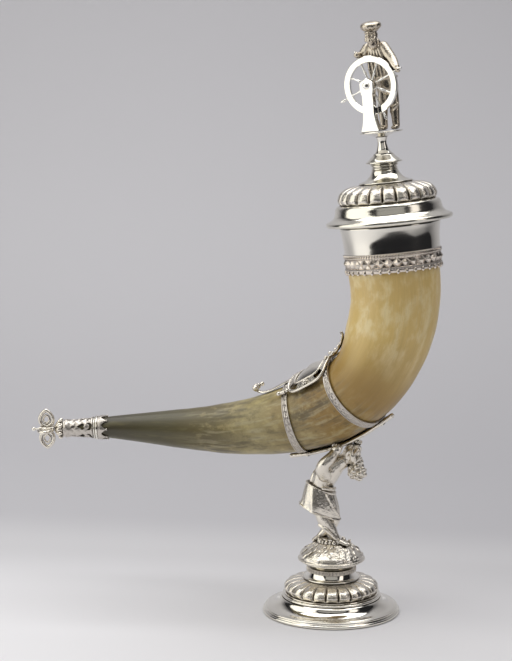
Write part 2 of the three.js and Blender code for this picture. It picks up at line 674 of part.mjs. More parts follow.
function cartoucheRail(size) {
  const steps = 20;
  const rings = Array.from({ length: steps }, (_, i) => {
    const turn = (2 * Math.PI * i) / steps;
    const centre = cartoucheEdge(size, turn, RAIL_LIFT);
    const out = cartoucheEdge(size, turn, RAIL_LIFT + 1).sub(centre);
    const along = cartoucheEdge(size, turn + 0.01, RAIL_LIFT).sub(centre).normalize();
    const across = out.clone().cross(along).multiplyScalar(RAIL_RADIUS);
    return oval(centre, across, out.multiplyScalar(RAIL_RADIUS), 4);
  });
  return loft(rings, { loop: true });
}

// Two rails joined by eight bridges, the ones at the sides swelling into rosettes.
function cartoucheFrame() {
  const bridges = Array.from({ length: 8 }, (_, i) => {
    const turn = (Math.PI * i) / 4;
    const swell = i % 4 === 2 ? 2.2 : 1;
    const stops = [INNER_RAIL_SHARE, (1 + INNER_RAIL_SHARE) / 2, 1].map((size, k) => {
      const width = k === 1 ? swell : 1;
      return [...cartoucheEdge(size, turn, RAIL_LIFT).toArray(), width * RAIL_RADIUS * 0.8, RAIL_RADIUS * 0.8];
    });
    const along = cartoucheEdge(1, turn + 0.1, RAIL_LIFT).sub(cartoucheEdge(1, turn, RAIL_LIFT)).normalize();
    return sweep(stops, along, { rings: 2, sides: 4 });
  });
  return join(cartoucheRail(1), cartoucheRail(INNER_RAIL_SHARE), ...bridges);
}

// A strip along the crest. Stops are [station, lift of its underside].
function crestStrip(stops, widths) {
  const curve = new THREE.SplineCurve(stops.map(([s, lift]) => new THREE.Vector2(s, lift)));
  const sections = curve.getPoints(10).map(({ x: s, y: lift }, i) => {
    const width = widths[0] + ((widths[1] - widths[0]) * i) / 10;
    const low = onHorn(s, 0, lift);
    const high = onHorn(s, 0, lift + SCROLL_THICKNESS);
    const across = sideDirection(s).multiplyScalar(width);
    return [low.clone().sub(across), low.clone().add(across), high.clone().add(across), high.clone().sub(across)];
  });
  return loft(sections);
}

function tipSideScroll() {
  const start = CARTOUCHE_STATION - CARTOUCHE_HALF_LENGTH - 3 * RAIL_RADIUS;
  const clear = strapCrest(REAR_STRAP_STATION) - STRAP_WIDTH;
  const stops = [[start, OVER_STRAP], [clear, OVER_STRAP], [(clear + TIP_SCROLL_END) / 2, 2 * FIT],
    [TIP_SCROLL_END, SCROLL_RISE]];
  const strip = crestStrip(stops.reverse(), [SCROLL_HALF_WIDTH * 0.8, SCROLL_HALF_WIDTH]);
  const centre = onHorn(TIP_SCROLL_END, 0, SCROLL_RISE + SCROLL_ROLL_RADIUS / 2);
  const side = sideDirection(TIP_SCROLL_END);
  const ends = [-1, -0.6, 0.6, 1].map((share) => {
    const radius = SCROLL_ROLL_RADIUS * (Math.abs(share) === 1 ? 1.15 : 0.9);
    const place = centre.clone().addScaledVector(side, share * SCROLL_HALF_WIDTH);
    return [...place.toArray(), radius, radius];
  });
  return join(strip, sweep(ends, hornDirection(TIP_SCROLL_END), { rings: 6, sides: 8 }));
}

function mouthSideScroll() {
  const start = CARTOUCHE_STATION + CARTOUCHE_HALF_LENGTH + 3 * RAIL_RADIUS;
  const clear = strapCrest(FRONT_STRAP_STATION) + STRAP_WIDTH;
  const half = (clear + MOUTH_SCROLL_END) / 2;
  const rest = (station) => 2 * FIT - crestFlat(station);
  const stops = [[start, OVER_STRAP + FIT], [clear, OVER_STRAP], [half, rest(half)],
    [MOUTH_SCROLL_END, rest(MOUTH_SCROLL_END)]];
  return crestStrip(stops, [SCROLL_HALF_WIDTH * 0.9, SCROLL_HALF_WIDTH * 0.35]);
}

function addSaddle(group) {
  const rearHole = strapScrew(REAR_STRAP_STATION, FIT);
  const frontHole = strapScrew(FRONT_STRAP_STATION, FIT);
  add(group, "horn", horn(), hornShell);
  add(group, "saddle_bar", cut(saddleBar(), rearHole, frontHole));
  add(group, "rear_strap", cut(strap(REAR_STRAP_STATION), rearHole), frosted);
  add(group, "front_strap", cut(strap(FRONT_STRAP_STATION), frontHole), frosted);
  add(group, "rear_strap_screw", strapScrew(REAR_STRAP_STATION));
  add(group, "front_strap_screw", strapScrew(FRONT_STRAP_STATION));
  add(group, "rear_strap_pin_near", strapPin(-1));
  add(group, "rear_strap_pin_far", strapPin(1));
  add(group, "cartouche_plate", cartouchePlate());
  add(group, "cartouche_frame", cartoucheFrame());
  add(group, "tip_side_scroll", tipSideScroll());
  add(group, "mouth_side_scroll", mouthSideScroll());
}

// Figures: points are in millimetres at the figure's own drawn height and scale with its real height.
const SIDEWAYS = new THREE.Vector3(0, 1, 0);
const FACING = new THREE.Vector3(1, 0, 0);
const BEARER_DRAWN_HEIGHT = 80.7;

function bearerLimb(stops, options) {
  const k = BEARER_HEIGHT / BEARER_DRAWN_HEIGHT;
  const placed = stops.map(([x, y, z, w, d]) => [k * x, k * y, ROCK_TOP + k * z, k * w, k * d]);
  return sweep(placed, SIDEWAYS, options);
}

// The kilt's rings from its hem up: [x, z, half length towards the face, its fall, half width].
const KILT_RINGS = [[-8.9, 26, 16.9, 7, 13], [-8.7, 35, 14.5, 4.5, 12], [-8.5, 42.2, 12, 2, 10.4]];

function bearerKilt(grow = 0) {
  const k = BEARER_HEIGHT / BEARER_DRAWN_HEIGHT;
  const rings = KILT_RINGS.map(([x, z, reach, fall, width], i) => {
    const push = [-grow, 0, grow][i];
    const centre = new THREE.Vector3(k * x, 0, ROCK_TOP + k * z + push);
    const u = new THREE.Vector3(k * reach + grow, 0, -k * fall);
    return oval(centre, u, new THREE.Vector3(0, k * width + grow, 0), 16);
  });
  return loft(rings);
}

const bearer = {
  torso: (grow) => bearerLimb([[-8.5, 0, 44, 9, 10.2], [-7, 0, 52, 10.5, 10.4], [-3, 0, 59.5, 13, 10.6], [4.5, 0, 66, 9.4, 8.4]],
    { sides: 12, grow }),
  head: (grow) => bearerLimb([[17.5, 0, 72.5, 6, 6.6], [19.8, 0, 66, 7.8, 8.2], [22.7, 0, 56.5, 5.6, 5.4]],
    { sides: 12, grow }),
  rightArm: () => bearerLimb([[-6, -10, 58, 4.6, 4.6], [-4.5, -14.5, 67, 4.2, 4.2], [5.4, -6.5, 79, 3.4, 3.4]]),
  leftArm: () => bearerLimb([[0, 10, 60, 4.6, 4.6], [9, 15, 68, 4.2, 4.2], [24, 3, 83, 3.4, 3.4]]),
  rightLeg: () => bearerLimb([[-8, -5.8, 26, 5, 6], [-3, -5.6, 15, 4.4, 4.4], [3, -5.6, 5, 3.2, 3.2],
    [11, -7, -1, 2.6, 2.6]]),
  leftLeg: () => bearerLimb([[-4, 5.8, 26, 5, 6], [1.5, 5.6, 15, 4.4, 4.4], [-6, 5.4, 5, 3.2, 3.2],
    [-13, 3, 0, 2.6, 2.6]]),
};

function bearerBase(grow = 0) {
  const bottom = ROCK_TOP + FIT;
  const top = bottom + BEARER_BASE_HEIGHT + grow;
  const radius = BEARER_BASE_RADIUS + grow;
  return turnedRing([[ROD_BORE, bottom], [radius, bottom], [radius, top], [ROD_BORE, top]], SMALL_SIDES);
}

function addBearer(group) {
  const kilt = bearerKilt(FIT);
  const torso = bearer.torso(FIT);
  const head = bearer.head(FIT);
  const above = saddleBar({ below: FIT, above: BAR_DROP - FIT, side: FIT });
  const ground = [rockMound(FIT), rod(ROD_BORE, 0, ROCK_TOP + 12), bearerBase(FIT)];
  add(group, "bearer_base", bearerBase());
  add(group, "bearer_torso", cut(bearer.torso(0), kilt));
  add(group, "bearer_head", cut(bearer.head(0), torso, above));
  add(group, "bearer_right_arm", cut(bearer.rightArm(), torso, head, above));
  add(group, "bearer_left_arm", cut(bearer.leftArm(), torso, head, above));
  add(group, "bearer_kilt", bearerKilt());
  add(group, "bearer_right_leg", cut(bearer.rightLeg(), kilt, ...ground));
  add(group, "bearer_left_leg", cut(bearer.leftLeg(), kilt, ...ground));
}

// Tip mount: its group's +Z runs outwards along the tip.
const SLEEVE_START = CROWN_HEIGHT + TIP_COLLAR_HEIGHT + 2 * FIT;
const SLEEVE_END = SLEEVE_START + SLEEVE_LENGTH;
const KNOT_START = SLEEVE_END + FIT;
const CROSS_START = KNOT_START + KNOT_LENGTH + FIT;
const BALL_START = CROSS_START + CROSS_LENGTH + FIT;
const COLLAR_BORE = SPIGOT_RADIUS + FIT;
const SLEEVE_INNER = COLLAR_BORE - SPIGOT_TAPER * SLEEVE_START;

// Pointed leaves reach back over the horn between the notches.
function tipCrown() {
  const inner = TIP_RADIUS + TIP_TAPER * CROWN_LEAF_LENGTH + FIT;
  const outer = inner + CROWN_WALL;
  const profile = [[inner, 0], [outer, 0], [COLLAR_BORE + 2 * CROWN_WALL, CROWN_HEIGHT], [COLLAR_BORE, CROWN_HEIGHT]];
  return reshaped(turnedRing(profile, 2 * CROWN_LEAVES), (r, z, angle) => {
    const leaf = (1 + Math.cos(CROWN_LEAVES * angle)) / 2;
    return [r, z === 0 ? -CROWN_LEAF_LENGTH * leaf : z];
  });
}

function tipCollar() {
  const low = CROWN_HEIGHT + FIT;
  const high = low + TIP_COLLAR_HEIGHT;
  const outer = COLLAR_BORE + CROWN_WALL;
  return turnedRing([[COLLAR_BORE, low], [outer + 0.6, low], [outer + 1, low + 1], [outer, low + 2],
    [outer, high], [COLLAR_BORE, high]], SMALL_SIDES);
}

function tipSleeve() {
  const outer = SLEEVE_INNER + SLEEVE_WALL;
  const narrow = outer - SLEEVE_LENGTH * SPIGOT_TAPER;
  const bore = narrow - SLEEVE_WALL;
  const sleeve = turned([[0, SLEEVE_END - SHEET], [bore, SLEEVE_END - SHEET], [SLEEVE_INNER, SLEEVE_START],
    [outer, SLEEVE_START], [narrow, SLEEVE_END], [0, SLEEVE_END]], SMALL_SIDES);
  const holes = Array.from({ length: SLEEVE_HOLES }, (_, i) => {
    const hole = rod(SLEEVE_HOLE_RADIUS, TIP_SOCKET * 0.16, outer + 2, 8);
    hole.rotateY(Math.PI / 2).rotateZ((2 * Math.PI * (i + 0.5)) / SLEEVE_HOLES);
    return hole.translate(0, 0, SLEEVE_START + SLEEVE_LENGTH * 0.35);
  });
  return cut(sleeve, ...holes);
}

function tipKnot() {
  const end = KNOT_START + KNOT_LENGTH;
  const bud = smooth([[KNOT_RADIUS - 1.4, KNOT_START], [KNOT_RADIUS, KNOT_START + 2.2],
    [KNOT_RADIUS - 2, KNOT_START + 5], [2.6, end]], 5);
  return reshaped(turned([[0, KNOT_START], ...bud, [0, end]], 16), (r, z, angle) => {
    return [r * (1 - 0.12 * (z > KNOT_START + 1 ? 1 - Math.cos(8 * angle) : 0)), z];
  });
}

// Four pierced pointed lobes round a short spindle.
function tipCross() {
  const length = CROSS_LENGTH;
  const reach = CROSS_RADIUS;
  const lobe = new THREE.Shape();
  lobe.moveTo(1, length * 0.5);
  lobe.quadraticCurveTo(reach * 0.2, length, reach * 0.55, length * 0.95);
  lobe.quadraticCurveTo(reach * 0.8, length * 0.8, reach, length * 0.5);
  lobe.quadraticCurveTo(reach * 0.8, length * 0.2, reach * 0.55, length * 0.05);
  lobe.quadraticCurveTo(reach * 0.2, 0, 1, length * 0.5);
  const hole = new THREE.Path();
  hole.moveTo(reach * 0.38, length * 0.5);
  hole.lineTo(reach * 0.58, length * 0.28);
  hole.lineTo(reach * 0.78, length * 0.5);
  hole.lineTo(reach * 0.58, length * 0.72);
  lobe.holes.push(hole);
  const plate = new THREE.ExtrudeGeometry(lobe, { depth: CROSS_THICKNESS, bevelEnabled: false, curveSegments: 3 });
  plate.translate(0, 0, -CROSS_THICKNESS / 2).rotateX(Math.PI / 2).translate(0, 0, CROSS_START);
  const lobes = [0, 1, 2, 3].map((i) => plate.clone().rotateZ((Math.PI * i) / 2));
  return join(rod(2.2, CROSS_START, CROSS_START + length, 10), ...lobes);
}

function tipBall() {
  const r = TIP_BALL_RADIUS;
  const stem = 3;
  const z = BALL_START + stem + r;
  return turned([[0, BALL_START], [1.1, BALL_START], [0.8, BALL_START + stem], [r * 0.9, z - r * 0.45], [r, z],
    [r * 0.7, z + r * 0.7], [0, z + r]], 12);
}

function addTipMount(group) {
  const tip = new THREE.Group();
  const turn = new THREE.Matrix4().makeBasis(crestDirection(0), sideDirection(0), hornDirection(0).negate());
  tip.position.copy(hornCentre(0));
  tip.quaternion.setFromRotationMatrix(turn);
  add(tip, "tip_crown", tipCrown(), frosted);
  add(tip, "tip_collar", tipCollar());
  add(tip, "tip_sleeve", tipSleeve(), frosted);
  add(tip, "tip_knot", tipKnot());
  add(tip, "tip_cross", tipCross());
  add(tip, "tip_ball", tipBall());
  group.add(tip);
}

// Mouth mount: its group's +Z runs up the mouth's axis.
const MOUTH_RADIUS = hornRadius(MOUTH_STATION);
const MOUNT_INNER = MOUTH_RADIUS + FIT;
const MOUNT_OUTER = MOUNT_INNER + MOUNT_THICKNESS;
const FRIEZE_BOTTOM = BEAD_RING_HEIGHT + FIT;
const DENTIL_BOTTOM = FRIEZE_BOTTOM + FRIEZE_HEIGHT + FIT;
const COLLAR_BOTTOM = DENTIL_BOTTOM + DENTIL_RING_HEIGHT + FIT;
const MOUTH_OPENING = MOUTH_RADIUS - HORN_WALL; // the collar turns in over the horn's lip

function mouthBeadRing() {
  const outer = MOUNT_OUTER;
  const h = BEAD_RING_HEIGHT;
  const profile = [[MOUNT_INNER, 0], [outer, h * 0.3], [outer, h * 0.8], [MOUNT_INNER, h]];
  return gadrooned(profile, MOUTH_BEADS, MOUNT_THICKNESS / 2, MOUNT_INNER, outer);
}

function mouthFrieze() {
  const low = FRIEZE_BOTTOM;
  const high = low + FRIEZE_HEIGHT;
  const wall = MOUNT_OUTER - 0.8;
  const middleHeight = (low + high) / 2;
  const profile = [[MOUNT_INNER, low], [wall, low], [MOUNT_OUTER + 0.4, middleHeight], [wall, high],
    [MOUNT_INNER, high]];
  return gadrooned(profile, MOUTH_BEADS / 2, 1.2, wall, MOUNT_OUTER);
}

function mouthDentilRing() {
  const low = DENTIL_BOTTOM;
  const high = low + DENTIL_RING_HEIGHT;
  return turnedRing([[MOUNT_INNER, low], [MOUNT_OUTER - 0.3, low], [MOUNT_OUTER + 0.4, low + 1],
    [MOUNT_OUTER + 0.4, high - 1], [MOUNT_OUTER - 0.3, high], [MOUNT_INNER, high]]);
}

function mouthCollar() {
  const low = COLLAR_BOTTOM;
  const outer = MOUNT_INNER + SHEET;
  const top = outer + COLLAR_FLARE;
  const wall = smooth([[outer, low], [outer + COLLAR_FLARE * 0.3, low + COLLAR_HEIGHT * 0.5],
    [top, MOUNT_TOP - 1]], 4);
  const inside = wall.slice(0, -1).map(([r, z]) => [r - SHEET, z]).reverse();
  return turnedRing([...wall, [top - 0.6, MOUNT_TOP], [MOUTH_OPENING, MOUNT_TOP], [MOUTH_OPENING, MOUNT_TOP - SHEET],
    [top - SHEET - 0.6, MOUNT_TOP - SHEET], ...inside]);
}

function addMouthMount(group) {
  const mouth = new THREE.Group();
  const s = MOUTH_STATION;
  const turn = new THREE.Matrix4().makeBasis(crestDirection(s).negate(), sideDirection(s), hornDirection(s));
  mouth.position.copy(hornCentre(s));
  mouth.quaternion.setFromRotationMatrix(turn);
  add(mouth, "mouth_bead_ring", mouthBeadRing(), frosted);
  add(mouth, "mouth_frieze", mouthFrieze(), frosted);
  add(mouth, "mouth_dentil_ring", mouthDentilRing(), frosted);
  add(mouth, "mouth_collar", mouthCollar());
  addLid(mouth);
  group.add(mouth);
}

// Lid, in the mouth's group. It lifts off along the mouth's axis.
const LID_BOTTOM = MOUNT_TOP + FIT;
const LID_LEDGE = LID_BOTTOM + FLANGE_HEIGHT + LID_WALL_HEIGHT;
const LID_GADROON_BOTTOM = LID_LEDGE + FIT;
const LID_GADROON_TOP = LID_GADROON_BOTTOM + LID_GADROON_HEIGHT;
const NECK_BOTTOM = LID_GADROON_TOP + FIT;
const NECK_TOP = NECK_BOTTOM + NECK_HEIGHT;
const KNOP_BOTTOM = NECK_TOP + FIT;
const KNOP_TOP = KNOP_BOTTOM + KNOP_HEIGHT;
const STEM_BOTTOM = KNOP_TOP + FIT;
const STEM_TOP = STEM_BOTTOM + STEM_HEIGHT;
const PLATFORM_BOTTOM = STEM_TOP + FIT;
const PLATFORM_TOP = PLATFORM_BOTTOM + PLATFORM_HEIGHT;
const BEZEL_OUTER = MOUTH_OPENING - LID_CLEARANCE;
const BEZEL_INNER = BEZEL_OUTER - SHEET;
const SEAT_INNER = BEZEL_INNER - 0.6;

function lidShell() {
  const seat = MOUNT_INNER + SHEET + COLLAR_FLARE - 1;
  const flange = LID_BOTTOM + FLANGE_HEIGHT;
  const r = LID_WALL_RADIUS;
  const ledge = LID_TOP_RADIUS;
  const outside = [[SEAT_INNER, LID_BOTTOM], [seat, LID_BOTTOM], [LID_RADIUS - 2, LID_BOTTOM + 2.4],
    [LID_RADIUS, LID_BOTTOM + 3.6], [LID_RADIUS - 0.6, flange - 0.4], [r + 3, flange + 1.6],
    [r, flange + 3.8], [r - 0.4, flange + 7], [ledge, LID_LEDGE - 0.6], [ledge - 0.6, LID_LEDGE]];
  const inside = [[ledge - 6, LID_LEDGE], [ledge - 6, LID_LEDGE - SHEET], [ledge - SHEET - 0.8, LID_LEDGE - SHEET],
    [r - SHEET - 0.6, flange + 6.6], [r - SHEET - 0.2, flange + 2.4], [seat - 1.4, LID_BOTTOM + SHEET],
    [SEAT_INNER, LID_BOTTOM + SHEET]];
  return turnedRing([...outside, ...inside]);
}

function lidGadroonRing() {
  const r = LID_TOP_RADIUS;
  const low = LID_GADROON_BOTTOM;
  const top = LID_GADROON_TOP;
  const bulge = smooth([[r - 1.6, low], [r, low + 4.4], [r - 3.4, top - 4], [r - 10, top - 0.8],
    [NECK_RADIUS, top]], 5);
  const closed = sheetBehind([...bulge, [ROD_BORE, top]], SHEET);
  return gadrooned(closed, LID_LOBES, LOBE_DEPTH, NECK_RADIUS + 1, r - 2);
}

function lidNeck() {
  const trumpet = smooth([[NECK_RADIUS, NECK_BOTTOM + 0.8], [NECK_RADIUS * 0.7, NECK_BOTTOM + 3.4],
    [NECK_WAIST_RADIUS + 1.6, NECK_BOTTOM + 8], [NECK_WAIST_RADIUS, NECK_BOTTOM + 11.4],
    [NECK_WAIST_RADIUS + 1.2, NECK_TOP - 2], [NECK_WAIST_RADIUS + 2.1, NECK_TOP]], 8);
  return turnedRing([[ROD_BORE, NECK_BOTTOM], [NECK_RADIUS, NECK_BOTTOM], ...trumpet, [ROD_BORE, NECK_TOP]],
    SMALL_SIDES + 4);
}

function lidKnop() {
  const z = KNOP_BOTTOM;
  return turnedRing([[ROD_BORE, z], [KNOP_RADIUS - 1.6, z], [KNOP_RADIUS, z + 1.2], [KNOP_RADIUS - 0.4, z + 2],
    [KNOP_RADIUS * 0.66, z + 5], [KNOP_RADIUS * 0.54, KNOP_TOP], [ROD_BORE, KNOP_TOP]], SMALL_SIDES + 4);
}

function lidStem() {
  const r = STEM_RADIUS;
  const flare = smooth([[r + 3.2, STEM_BOTTOM], [r + 1.2, STEM_BOTTOM + 3], [r, STEM_BOTTOM + STEM_HEIGHT * 0.7],
    [r + 0.9, STEM_TOP]], 5);
  return turnedRing([[ROD_BORE, STEM_BOTTOM], ...flare, [ROD_BORE, STEM_TOP]], SMALL_SIDES);
}

function lidPlatform() {
  const r = PLATFORM_RADIUS;
  const blind = PLATFORM_TOP - SHEET;
  return turned([[0, blind], [ROD_BORE, blind], [ROD_BORE, PLATFORM_BOTTOM], [STEM_RADIUS + 0.9, PLATFORM_BOTTOM],
    [r * 0.42, PLATFORM_BOTTOM + 1.4], [r - 1, PLATFORM_TOP - 1.4], [r, PLATFORM_TOP - 0.8], [r, PLATFORM_TOP],
    [0, PLATFORM_TOP]], SMALL_SIDES + 4);
}

function addLid(group) {
  const nutTop = LID_GADROON_TOP - SHEET - FIT;
  const nutBottom = nutTop - NUT_HEIGHT;
  add(group, "lid_shell", lidShell());
  add(group, "lid_bezel", washer(BEZEL_INNER, BEZEL_OUTER, MOUNT_TOP - BEZEL_DEPTH, LID_BOTTOM - FIT));
  add(group, "lid_gadroon_ring", lidGadroonRing());
  add(group, "lid_neck", lidNeck());
  add(group, "lid_knop", lidKnop());
  add(group, "lid_stem", lidStem());
  add(group, "lid_platform", lidPlatform());
  add(group, "lid_tie_rod", rod(ROD_RADIUS, nutBottom - ROD_TAIL, PLATFORM_TOP - SHEET - FIT), iron);
  add(group, "lid_tie_nut", hexNut(nutBottom, nutTop), iron);
  const crew = new THREE.Group();
  crew.position.z = PLATFORM_TOP + FIT;
  crew.rotation.z = degToRad(HELMSMAN_TURN);
  addWheel(crew);
  addHelmsman(crew);
  group.add(crew);
}

// The crew stands on the platform and looks along -Y; the wheel turns about Y.
const PEDESTAL_BACK = PEDESTAL_FRONT + PEDESTAL_DEPTH;
const WHEEL_FRONT = PEDESTAL_BACK + FIT;
const WHEEL_MIDDLE = WHEEL_FRONT + HUB_RADIUS / 2;
const GRIP_RADIUS = WHEEL_RADIUS + HANDLE_LENGTH / 2;
const AXLE_BORE = AXLE_RADIUS + FIT;

function aboutWheel(geometry) {
  return geometry.translate(WHEEL_OFFSET, WHEEL_MIDDLE, WHEEL_CENTRE_HEIGHT);
}

function wheelPlace(angle, radius) {
  const x = WHEEL_OFFSET + radius * Math.cos(angle);
  const z = WHEEL_CENTRE_HEIGHT + radius * Math.sin(angle);
  return new THREE.Vector3(x, WHEEL_MIDDLE, z);
}

function spokeAngle(i) {
  return degToRad(SPOKE_PHASE) + (2 * Math.PI * i) / WHEEL_SPOKES;
}

// A bar that points out from the wheel's centre
function radialBar(angle, from, to, radius) {
  const bar = new THREE.CylinderGeometry(radius, radius, to - from, 5).translate(0, (from + to) / 2, 0);
  return aboutWheel(bar.rotateZ(-Math.PI / 2).rotateY(-angle));
}

function handle(angle, grow = 0) {
  return radialBar(angle, WHEEL_RADIUS - WHEEL_RIM / 2, WHEEL_RADIUS + HANDLE_LENGTH + grow, HANDLE_RADIUS + grow);
}

function handleAngles() {
  return [0, 2, 4, 6].map((i) => spokeAngle(i));
}

function shipWheel() {
  const half = WHEEL_THICKNESS / 2;
  const inside = WHEEL_RADIUS - WHEEL_RIM;
  const band = (inner, outer, depth, sides) => {
    const profile = [[inner, -depth], [outer, -depth], [outer, depth], [inner, depth], [inner, -depth]];
    return aboutWheel(new THREE.LatheGeometry(profile.map(([r, y]) => new THREE.Vector2(r, y)), sides));
  };
  const rim = band(inside, WHEEL_RADIUS, half, 24);
  const hub = band(AXLE_BORE, HUB_RADIUS, HUB_RADIUS / 2, 10);
  const spokes = Array.from({ length: WHEEL_SPOKES }, (_, i) =>
    radialBar(spokeAngle(i), (AXLE_BORE + HUB_RADIUS) / 2, inside + WHEEL_RIM / 3, SPOKE_RADIUS));
  return join(rim, hub, ...spokes, ...handleAngles().map((angle) => handle(angle)));
}

function pedestal() {
  const half = PEDESTAL_WIDTH / 2;
  const foot = PEDESTAL_BASE_WIDTH / 2;
  const head = PEDESTAL_HEAD_RADIUS;
  const z = WHEEL_CENTRE_HEIGHT;
  const side = [[foot, 0], [foot - 0.4, 1.4], [half + 1.2, z * 0.22], [half + 0.4, z * 0.38], [half, z - head - 1.4],
    [head, z - head * 0.4], [head, z + head * 0.4], [0, z + head]];
  const outline = new THREE.Shape();
  side.forEach(([x, y], i) => (i ? outline.lineTo(x, y) : outline.moveTo(x, y)));
  side.slice(0, -1).reverse().forEach(([x, y]) => outline.lineTo(-x, y));
  const bore = new THREE.Path();
  bore.absarc(0, z, AXLE_BORE, 0, 2 * Math.PI, true);
  outline.holes.push(bore);
  const post = new THREE.ExtrudeGeometry(outline, { depth: PEDESTAL_DEPTH, bevelEnabled: false, curveSegments: 5 });
  return post.rotateX(Math.PI / 2).translate(WHEEL_OFFSET, PEDESTAL_BACK, 0);
}

function axle() {
  const front = PEDESTAL_FRONT - FIT;
  const back = WHEEL_FRONT + HUB_RADIUS;
  const head = 2 * AXLE_RADIUS;
  const points = [[0, front - 1.4], [head * 0.7, front - 1.4], [head, front], [AXLE_RADIUS, front],
    [AXLE_RADIUS, back], [0, back]].map(([r, y]) => new THREE.Vector2(r, y));
  return new THREE.LatheGeometry(points, 12).translate(WHEEL_OFFSET, 0, WHEEL_CENTRE_HEIGHT);
}

function addWheel(crew) {
  add(crew, "wheel_pedestal", pedestal());
  add(crew, "wheel_axle", axle());
  add(crew, "ship_wheel", shipWheel());
}

const HELMSMAN_DRAWN_HEIGHT = 87;
const HAT_TILT = 6;

function drawn(stops) {
  const k = HELMSMAN_HEIGHT / HELMSMAN_DRAWN_HEIGHT;
  return stops.map((stop) => stop.map((value) => k * value));
}

const helmsman = {
  torso: (grow) => sweep(drawn([[4.5, 9, 34, 9.4, 6.8], [3.6, 8.2, 46, 9.8, 6.8], [2.2, 6.4, 58, 10.2, 6.4],
    [1.6, 4.6, 65, 9, 6], [1, 2.6, 69.5, 5.4, 4.4]]), FACING, { sides: 12, rings: 9, grow }),
  head: (grow) => sweep(drawn([[0.4, -3.4, 71.4, 3.8, 3.6], [0.4, -2.4, 75, 4.8, 4.8], [0.6, -1.6, 78.8, 4.8, 4.8]]),
    FACING, { sides: 12, rings: 5, grow }),
  rightLeg: () => sweep(drawn([[0, 2.6, 1.4, 2.6, 2.2], [0, 6.4, 4.4, 3, 3], [0, 6.6, 18, 3.8, 3.8],
    [1.6, 8, 33, 4, 4.6]]), FACING),
  leftLeg: () => sweep(drawn([[8.6, 6, 1.4, 2.6, 2.2], [8.6, 10.4, 4.4, 3, 3], [8.6, 10.4, 18, 3.8, 3.8],
    [8.8, 9.4, 33, 4, 4.6]]), FACING),
};

function helmsmanHat() {
  const k = HELMSMAN_HEIGHT / HELMSMAN_DRAWN_HEIGHT;
  const puff = 8.4 * k;
  const band = 5 * k;
  const shape = turned([[0, -1.2 * k], [band, -1.2 * k], [puff * 0.72, 0.4 * k], [puff * 0.93, 1.8 * k],
    [puff, 3.4 * k], [puff * 0.9, 5.2 * k], [puff * 0.6, 6.6 * k], [0, 7.2 * k]], 16);
  return shape.rotateX(degToRad(HAT_TILT)).translate(0.5 * k, -1.8 * k, 79.6 * k);
}

// An arm from the shoulder to a hand that closes round a handle of the wheel
function helmsmanArm(shoulder, elbow, angle) {
  const grip = wheelPlace(angle, GRIP_RADIUS);
  const stops = [...drawn([shoulder, elbow]), [...grip.toArray(), 2.5, 2.5]];
  return sweep(stops, new THREE.Vector3(0, 0.8, 0.6), { rings: 7, sides: 8 });
}

function addHelmsman(crew) {
  const [left, right] = handleAngles();
  const torso = helmsman.torso(FIT);
  const head = helmsman.head(FIT);
  const deck = new THREE.BoxGeometry(4 * PLATFORM_RADIUS, 4 * PLATFORM_RADIUS, 8).translate(0, 0, -4);
  const hat = helmsmanHat();
  add(crew, "helmsman_torso", helmsman.torso(0));
  add(crew, "helmsman_head", cut(helmsman.head(0), torso));
  add(crew, "helmsman_hat", cut(hat, head));
  add(crew, "helmsman_right_leg", cut(helmsman.rightLeg(), torso, deck));
  add(crew, "helmsman_left_leg", cut(helmsman.leftLeg(), torso, deck));
  const rightArm = helmsmanArm([-6, 5, 65.4, 4, 4], [-12, 4.4, 61, 3.4, 3.4], right);
  const leftArm = helmsmanArm([7.4, 5.4, 65.4, 4.2, 4.2], [14.4, 3.2, 55, 3.4, 3.4], left);
  add(crew, "helmsman_right_arm", cut(rightArm, torso, handle(right, FIT)));
  add(crew, "helmsman_left_arm", cut(leftArm, torso, handle(left, FIT)));
}

const drinkingHorn = new THREE.Group();
addFoot(drinkingHorn);
addBearer(drinkingHorn);
addSaddle(drinkingHorn);
addTipMount(drinkingHorn);
addMouthMount(drinkingHorn);

export default drinkingHorn;
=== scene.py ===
# %% [markdown]
# # A mounted drinking horn
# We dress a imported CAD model: a cow horn in silver mounts, held up by a bent bearer on a round foot,
# with a lid that lifts off and carries a helmsman at a ship's wheel. What we add is finer pieces that
# ride on one of the two CAD bodies, the stand or the lid.

# %% Load the frame
import math

import bpy
import numpy as np
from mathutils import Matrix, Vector


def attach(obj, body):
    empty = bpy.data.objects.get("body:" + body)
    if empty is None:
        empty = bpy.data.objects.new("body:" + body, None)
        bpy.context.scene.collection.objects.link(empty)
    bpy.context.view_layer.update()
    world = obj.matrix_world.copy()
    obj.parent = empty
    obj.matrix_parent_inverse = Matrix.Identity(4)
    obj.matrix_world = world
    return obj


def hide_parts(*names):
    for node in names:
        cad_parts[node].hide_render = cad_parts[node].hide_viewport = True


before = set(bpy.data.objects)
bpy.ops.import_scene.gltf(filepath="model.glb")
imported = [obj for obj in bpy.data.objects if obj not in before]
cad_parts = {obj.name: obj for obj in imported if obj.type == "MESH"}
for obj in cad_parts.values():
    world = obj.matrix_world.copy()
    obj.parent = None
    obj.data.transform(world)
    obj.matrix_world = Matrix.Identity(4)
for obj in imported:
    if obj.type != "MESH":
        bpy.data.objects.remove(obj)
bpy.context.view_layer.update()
MM = 0.001
TURN = 2 * math.pi

# %% [markdown]
# ## Wires for shaders
# A procedural material is arithmetic on sockets. One small class wraps a socket so that we can write
# that arithmetic with ordinary signs; every other node goes through its `node` method.


